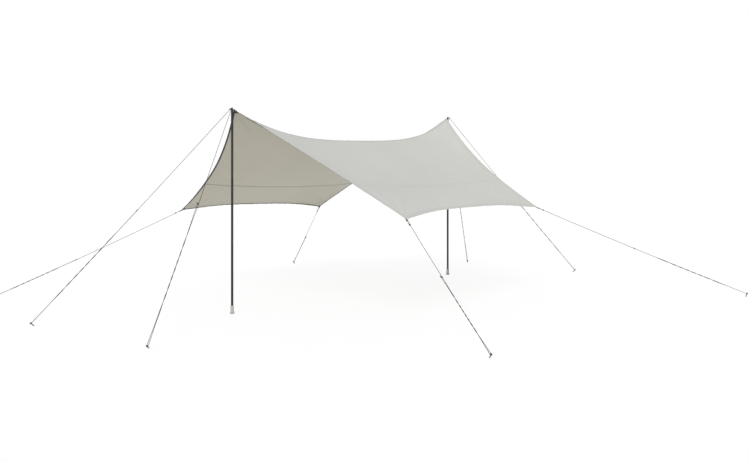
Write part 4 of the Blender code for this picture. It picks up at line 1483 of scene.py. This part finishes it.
def make_guy_rope(guy, loop, knot_at):
    """The rope, the knot that closes its top loop, and the stopper behind its slider."""
    path = np.concatenate((loop, guy.lower_run()))
    stopper = guy.seat - guy.down * STOPPER_ABOVE_SLIDER - guy.side * LOOP_RADIUS
    parts = (
        sweep(path, guy.lean, circle(ROPE_RADIUS, 12)),
        coil(knot_at, guy.down, guy.side, KNOT_TURNS, STRAND + COIL_RADIUS),
        coil(stopper, guy.down, guy.lean, STOPPER_TURNS, COIL_RADIUS),
    )
    rope = piece(guy.name + "_rope", *joined(parts), [rope_material()], sharp=60)
    settle(rope, "grey_rope", guy.name + "_guy_rope")


def all_guys():
    """The guys of both poles and of the four corners."""
    return [pole_guy(name) for name in POLE_PEGS] + [corner_guy(name) for name in CORNER_PEGS]


def flare_profile(half):
    """A hole through the thickness, wider at both faces."""
    end = [(0.0016, half + 0.001), (0.0006, half - 0.0006), (0.0, half - 0.002)]
    offsets = [(wider, -height) for wider, height in end] + end[::-1]
    return [(SLIDER_HOLE + wider, height) for wider, height in offsets]


def make_slider(guy):
    """A rounded bar with a flared hole for each strand of the rope. Its outline is the power 0.55
    of the cosine and sine, narrower in the middle, and it shrinks towards its two faces."""
    width, height, depth = SLIDER_SIZE
    turn = circle(1, 48)
    shape = np.sign(turn) * np.abs(turn) ** 0.55
    waist = 1 - 0.12 * np.exp(-((shape[:, 0] / 0.35) ** 2))
    outline = np.stack((shape[:, 0] * width / 2, shape[:, 1] * height / 2 * waist), -1)
    share = np.array((-1, -0.94, -0.8, -0.3, 0.3, 0.8, 0.94, 1.0))
    shrink = 1 - 0.12 * np.maximum(np.abs(share) - 0.75, 0) ** 2 / 0.0625
    path = guy.seat + guy.down * (share[:, None] * depth / 2)
    body = sweep(path, guy.side, outline[None] * shrink[:, None, None])
    colour = tuple(bpy.context.scene.tarp_ropes.slider)
    plastic = finish_of("black_slider_plastic", plastic_finish, colour)
    slider = piece(guy.name + "_line_slider", *body, [plastic], sharp=45)
    flare = flare_profile(depth / 2)
    axes = np.array((guy.side, np.cross(guy.down, guy.side), guy.down))
    holes = [lathe(flare, 24, guy.seat + guy.side * LOOP_RADIUS * way, axes) for way in (1, -1)]
    pierce(slider, holes)
    settle(slider, "black_slider", guy.name + "_slider")


def peg_profile():
    """A round neck and a round head with a low dome."""
    neck, head = PEG_RADIUS, PEG_HEAD_RADIUS
    shoulder = PEG_NECK + PEG_HEAD - 0.004
    profile = [
        (neck, 0.0), (neck, PEG_NECK - 0.003), (neck + 0.0012, PEG_NECK - 0.0008),
        (head - 0.002, PEG_NECK), (head - 0.0004, PEG_NECK + 0.0008), (head, PEG_NECK + 0.002),
        (head, shoulder),
    ]
    dome = head - 0.001
    steps = np.linspace(0, math.pi / 2, 5)[1:]
    return profile + [(dome * math.cos(t) + 0.001, shoulder + 0.004 * math.sin(t)) for t in steps]


def make_peg(guy):
    """The part of a peg above the ground, its foot cut level with the ground."""
    axes = np.array((guy.side, np.cross(guy.lean, guy.side), guy.lean))
    points, faces, uv = lathe(peg_profile(), PEG_SIDES, guy.foot, axes)
    lowest = points[:PEG_SIDES]
    lowest -= np.outer(lowest[:, 2] / guy.lean[2], guy.lean)
    peg = piece(guy.name + "_ground_peg", points, faces, uv, [steel_material()])
    settle(peg, "steel", guy.name + "_peg")


# Stage


def make_camera(stage):
    """The photograph's own view, level and looking along the tarp from the near right."""
    data = bpy.data.cameras.new("camera")
    data.sensor_width = CAMERA_SENSOR
    data.lens = stage.focal_length
    data.shift_y = -CAMERA_DROP
    data.clip_end = 200
    camera = bpy.data.objects.new("camera", data)
    camera.location = CAMERA_AT
    camera.rotation_euler = (math.pi / 2, 0, CAMERA_TURN)
    bpy.context.scene.collection.objects.link(camera)
    bpy.context.scene.camera = camera


def make_floor(stage):
    """A round floor, its rings of points at growing distances."""
    finish = Finish("pale_floor", tuple(stage.floor), 0.9)
    finish.shader.inputs["Specular IOR Level"].default_value = 0.1
    finish.shader.inputs["Emission Color"].default_value = (1, 1, 1, 1)
    finish.shader.inputs["Emission Strength"].default_value = stage.floor_glow
    count = len(FLOOR_RADII)
    flat = np.array(FLOOR_RADII)[:, None, None] * circle(1, FLOOR_SIDES)
    points = np.concatenate((flat, np.zeros((count, FLOOR_SIDES, 1))), -1).reshape(-1, 3)
    faces = [ring_faces(count, FLOOR_SIDES)[:, ::-1], np.arange(FLOOR_SIDES)[None]]
    uv = np.zeros((4 * len(faces[0]) + FLOOR_SIDES, 2))
    floor = piece("floor", points, faces, uv, [finish.material])


def make_light(stage):
    """An even pale sky, which shows as plain white, and one broad soft light from above."""
    world = bpy.data.worlds.new("studio_sky")
    world.use_nodes = True
    nodes, links = world.node_tree.nodes, world.node_tree.links
    seen = nodes.new("ShaderNodeLightPath").outputs["Is Camera Ray"]
    strength = nodes.new("ShaderNodeMapRange")
    strength.inputs["To Min"].default_value = stage.sky
    links.new(seen, strength.inputs["Value"])
    nodes["Background"].inputs["Color"].default_value = (1, 1, 1, 1)
    links.new(strength.outputs["Result"], nodes["Background"].inputs["Strength"])
    bpy.context.scene.world = world
    data = bpy.data.lights.new("key", "SUN")
    data.energy = stage.key
    data.angle = math.radians(KEY_SPREAD)
    key = bpy.data.objects.new("key", data)
    key.rotation_euler = Vector(KEY_FROM).to_track_quat("Z", "Y").to_euler()
    bpy.context.scene.collection.objects.link(key)
    bpy.context.scene.view_settings.view_transform = "Standard"


# Operators


class TARP_OT_stage(bpy.types.Operator):
    """Set up the camera, the floor and the light"""

    bl_idname = "tarp.stage"
    bl_label = "Stage"

    def execute(self, context):
        make_camera(context.scene.tarp_stage)
        make_floor(context.scene.tarp_stage)
        make_light(context.scene.tarp_stage)
        return {"FINISHED"}


class TARP_OT_edge_tape(bpy.types.Operator):
    """Sew the black tape under the canopy's edges"""

    bl_idname = "tarp.edge_tape"
    bl_label = "Edge tape"

    def execute(self, context):
        tape = make_edge_tape(Canopy(context.scene.tarp_cloth))
        settle(tape, "black_webbing", "edge_binding")
        return {"FINISHED"}


class TARP_OT_ridge_cover(bpy.types.Operator):
    """Cover the ridge seam with its strip"""

    bl_idname = "tarp.ridge_cover"
    bl_label = "Ridge cover"

    def execute(self, context):
        cover = make_ridge_cover(Canopy(context.scene.tarp_cloth))
        settle(cover, "canopy_cloth", "ridge_tape")
        return {"FINISHED"}


class TARP_OT_reinforcements(bpy.types.Operator):
    """Add the second layer of cloth under the corners and peaks"""

    bl_idname = "tarp.reinforcements"
    bl_label = "Reinforcements"

    def execute(self, context):
        make_reinforcements(Canopy(context.scene.tarp_cloth))
        return {"FINISHED"}


class TARP_OT_webbing(bpy.types.Operator):
    """Add the straps at the peaks and the loops at the corners"""

    bl_idname = "tarp.webbing"
    bl_label = "Webbing"

    def execute(self, context):
        canopy = Canopy(context.scene.tarp_cloth)
        for end in ("near", "far"):
            make_peak_webbing(canopy, end)
        for name in CORNERS:
            make_corner_webbing(name)
        return {"FINISHED"}


class TARP_OT_canopy(bpy.types.Operator):
    """Build the canopy cloth as one sheet, after what is sewn to it"""

    bl_idname = "tarp.canopy"
    bl_label = "Canopy"

    def execute(self, context):
        cloth = context.scene.tarp_cloth
        canopy = Canopy(cloth)
        sheet = make_canopy_sheet(canopy, cloth)
        panels = [f"{side}_{row}_panel" for side in ("left", "right") for row in ("upper", "lower")]
        settle(sheet, "canopy_cloth", *panels)
        sewn = ["edge_tape", "ridge_cover"]
        sewn += [name + "_reinforcement" for name in ("near_peak", "far_peak", *CORNERS)]
        return {"FINISHED"}


class TARP_OT_poles(bpy.types.Operator):
    """Stand up both poles"""

    bl_idname = "tarp.poles"
    bl_label = "Poles"

    def execute(self, context):
        for end in ("near", "far"):
            make_pole(end)
        return {"FINISHED"}


class TARP_OT_ropes(bpy.types.Operator):
    """Run the guy ropes, with their sliders and pegs"""

    bl_idname = "tarp.ropes"
    bl_label = "Ropes, sliders and pegs"

    def execute(self, context):
        for guy, loop, knot_at in all_guys():
            make_guy_rope(guy, loop, knot_at)
            make_slider(guy)
            make_peg(guy)
        return {"FINISHED"}


class TARP_PT_panel(bpy.types.Panel):
    """The tarp's settings and the buttons that build its pieces"""

    bl_idname = "TARP_PT_panel"
    bl_label = "Hexagonal Tarp"
    bl_space_type = "VIEW_3D"
    bl_region_type = "UI"
    bl_category = "Tarp"

    def draw(self, context):
        for label, group in SETTINGS.items():
            box = self.layout.box()
            box.label(text=group.__doc__)
            settings = getattr(context.scene, label)
            for key in group.__annotations__:
                box.prop(settings, key)
        for operator in OPERATORS:
            self.layout.operator(operator.bl_idname)


SETTINGS = {
    "tarp_cloth": TarpCloth,
    "tarp_poles": TarpPoles,
    "tarp_ropes": TarpRopes,
    "tarp_stage": TarpStage,
}
OPERATORS = (
    TARP_OT_stage,
    TARP_OT_edge_tape,
    TARP_OT_ridge_cover,
    TARP_OT_reinforcements,
    TARP_OT_webbing,
    TARP_OT_poles,
    TARP_OT_ropes,
    TARP_OT_canopy,
)


def register():
    """Adds the settings, operators and panel."""
    for kind in (*SETTINGS.values(), *OPERATORS, TARP_PT_panel):
        bpy.utils.register_class(kind)
    for label, group in SETTINGS.items():
        setattr(bpy.types.Scene, label, PointerProperty(type=group))


def unregister():
    """Takes them away again."""
    for label in SETTINGS:
        delattr(bpy.types.Scene, label)
    for kind in reversed((*SETTINGS.values(), *OPERATORS, TARP_PT_panel)):
        bpy.utils.unregister_class(kind)


def main():
    register()
    bpy.ops.tarp.stage()
    bpy.ops.tarp.edge_tape()
    bpy.ops.tarp.ridge_cover()
    bpy.ops.tarp.reinforcements()
    bpy.ops.tarp.webbing()
    bpy.ops.tarp.poles()
    bpy.ops.tarp.ropes()
    bpy.ops.tarp.canopy()


if __name__ == "__main__":
    main()
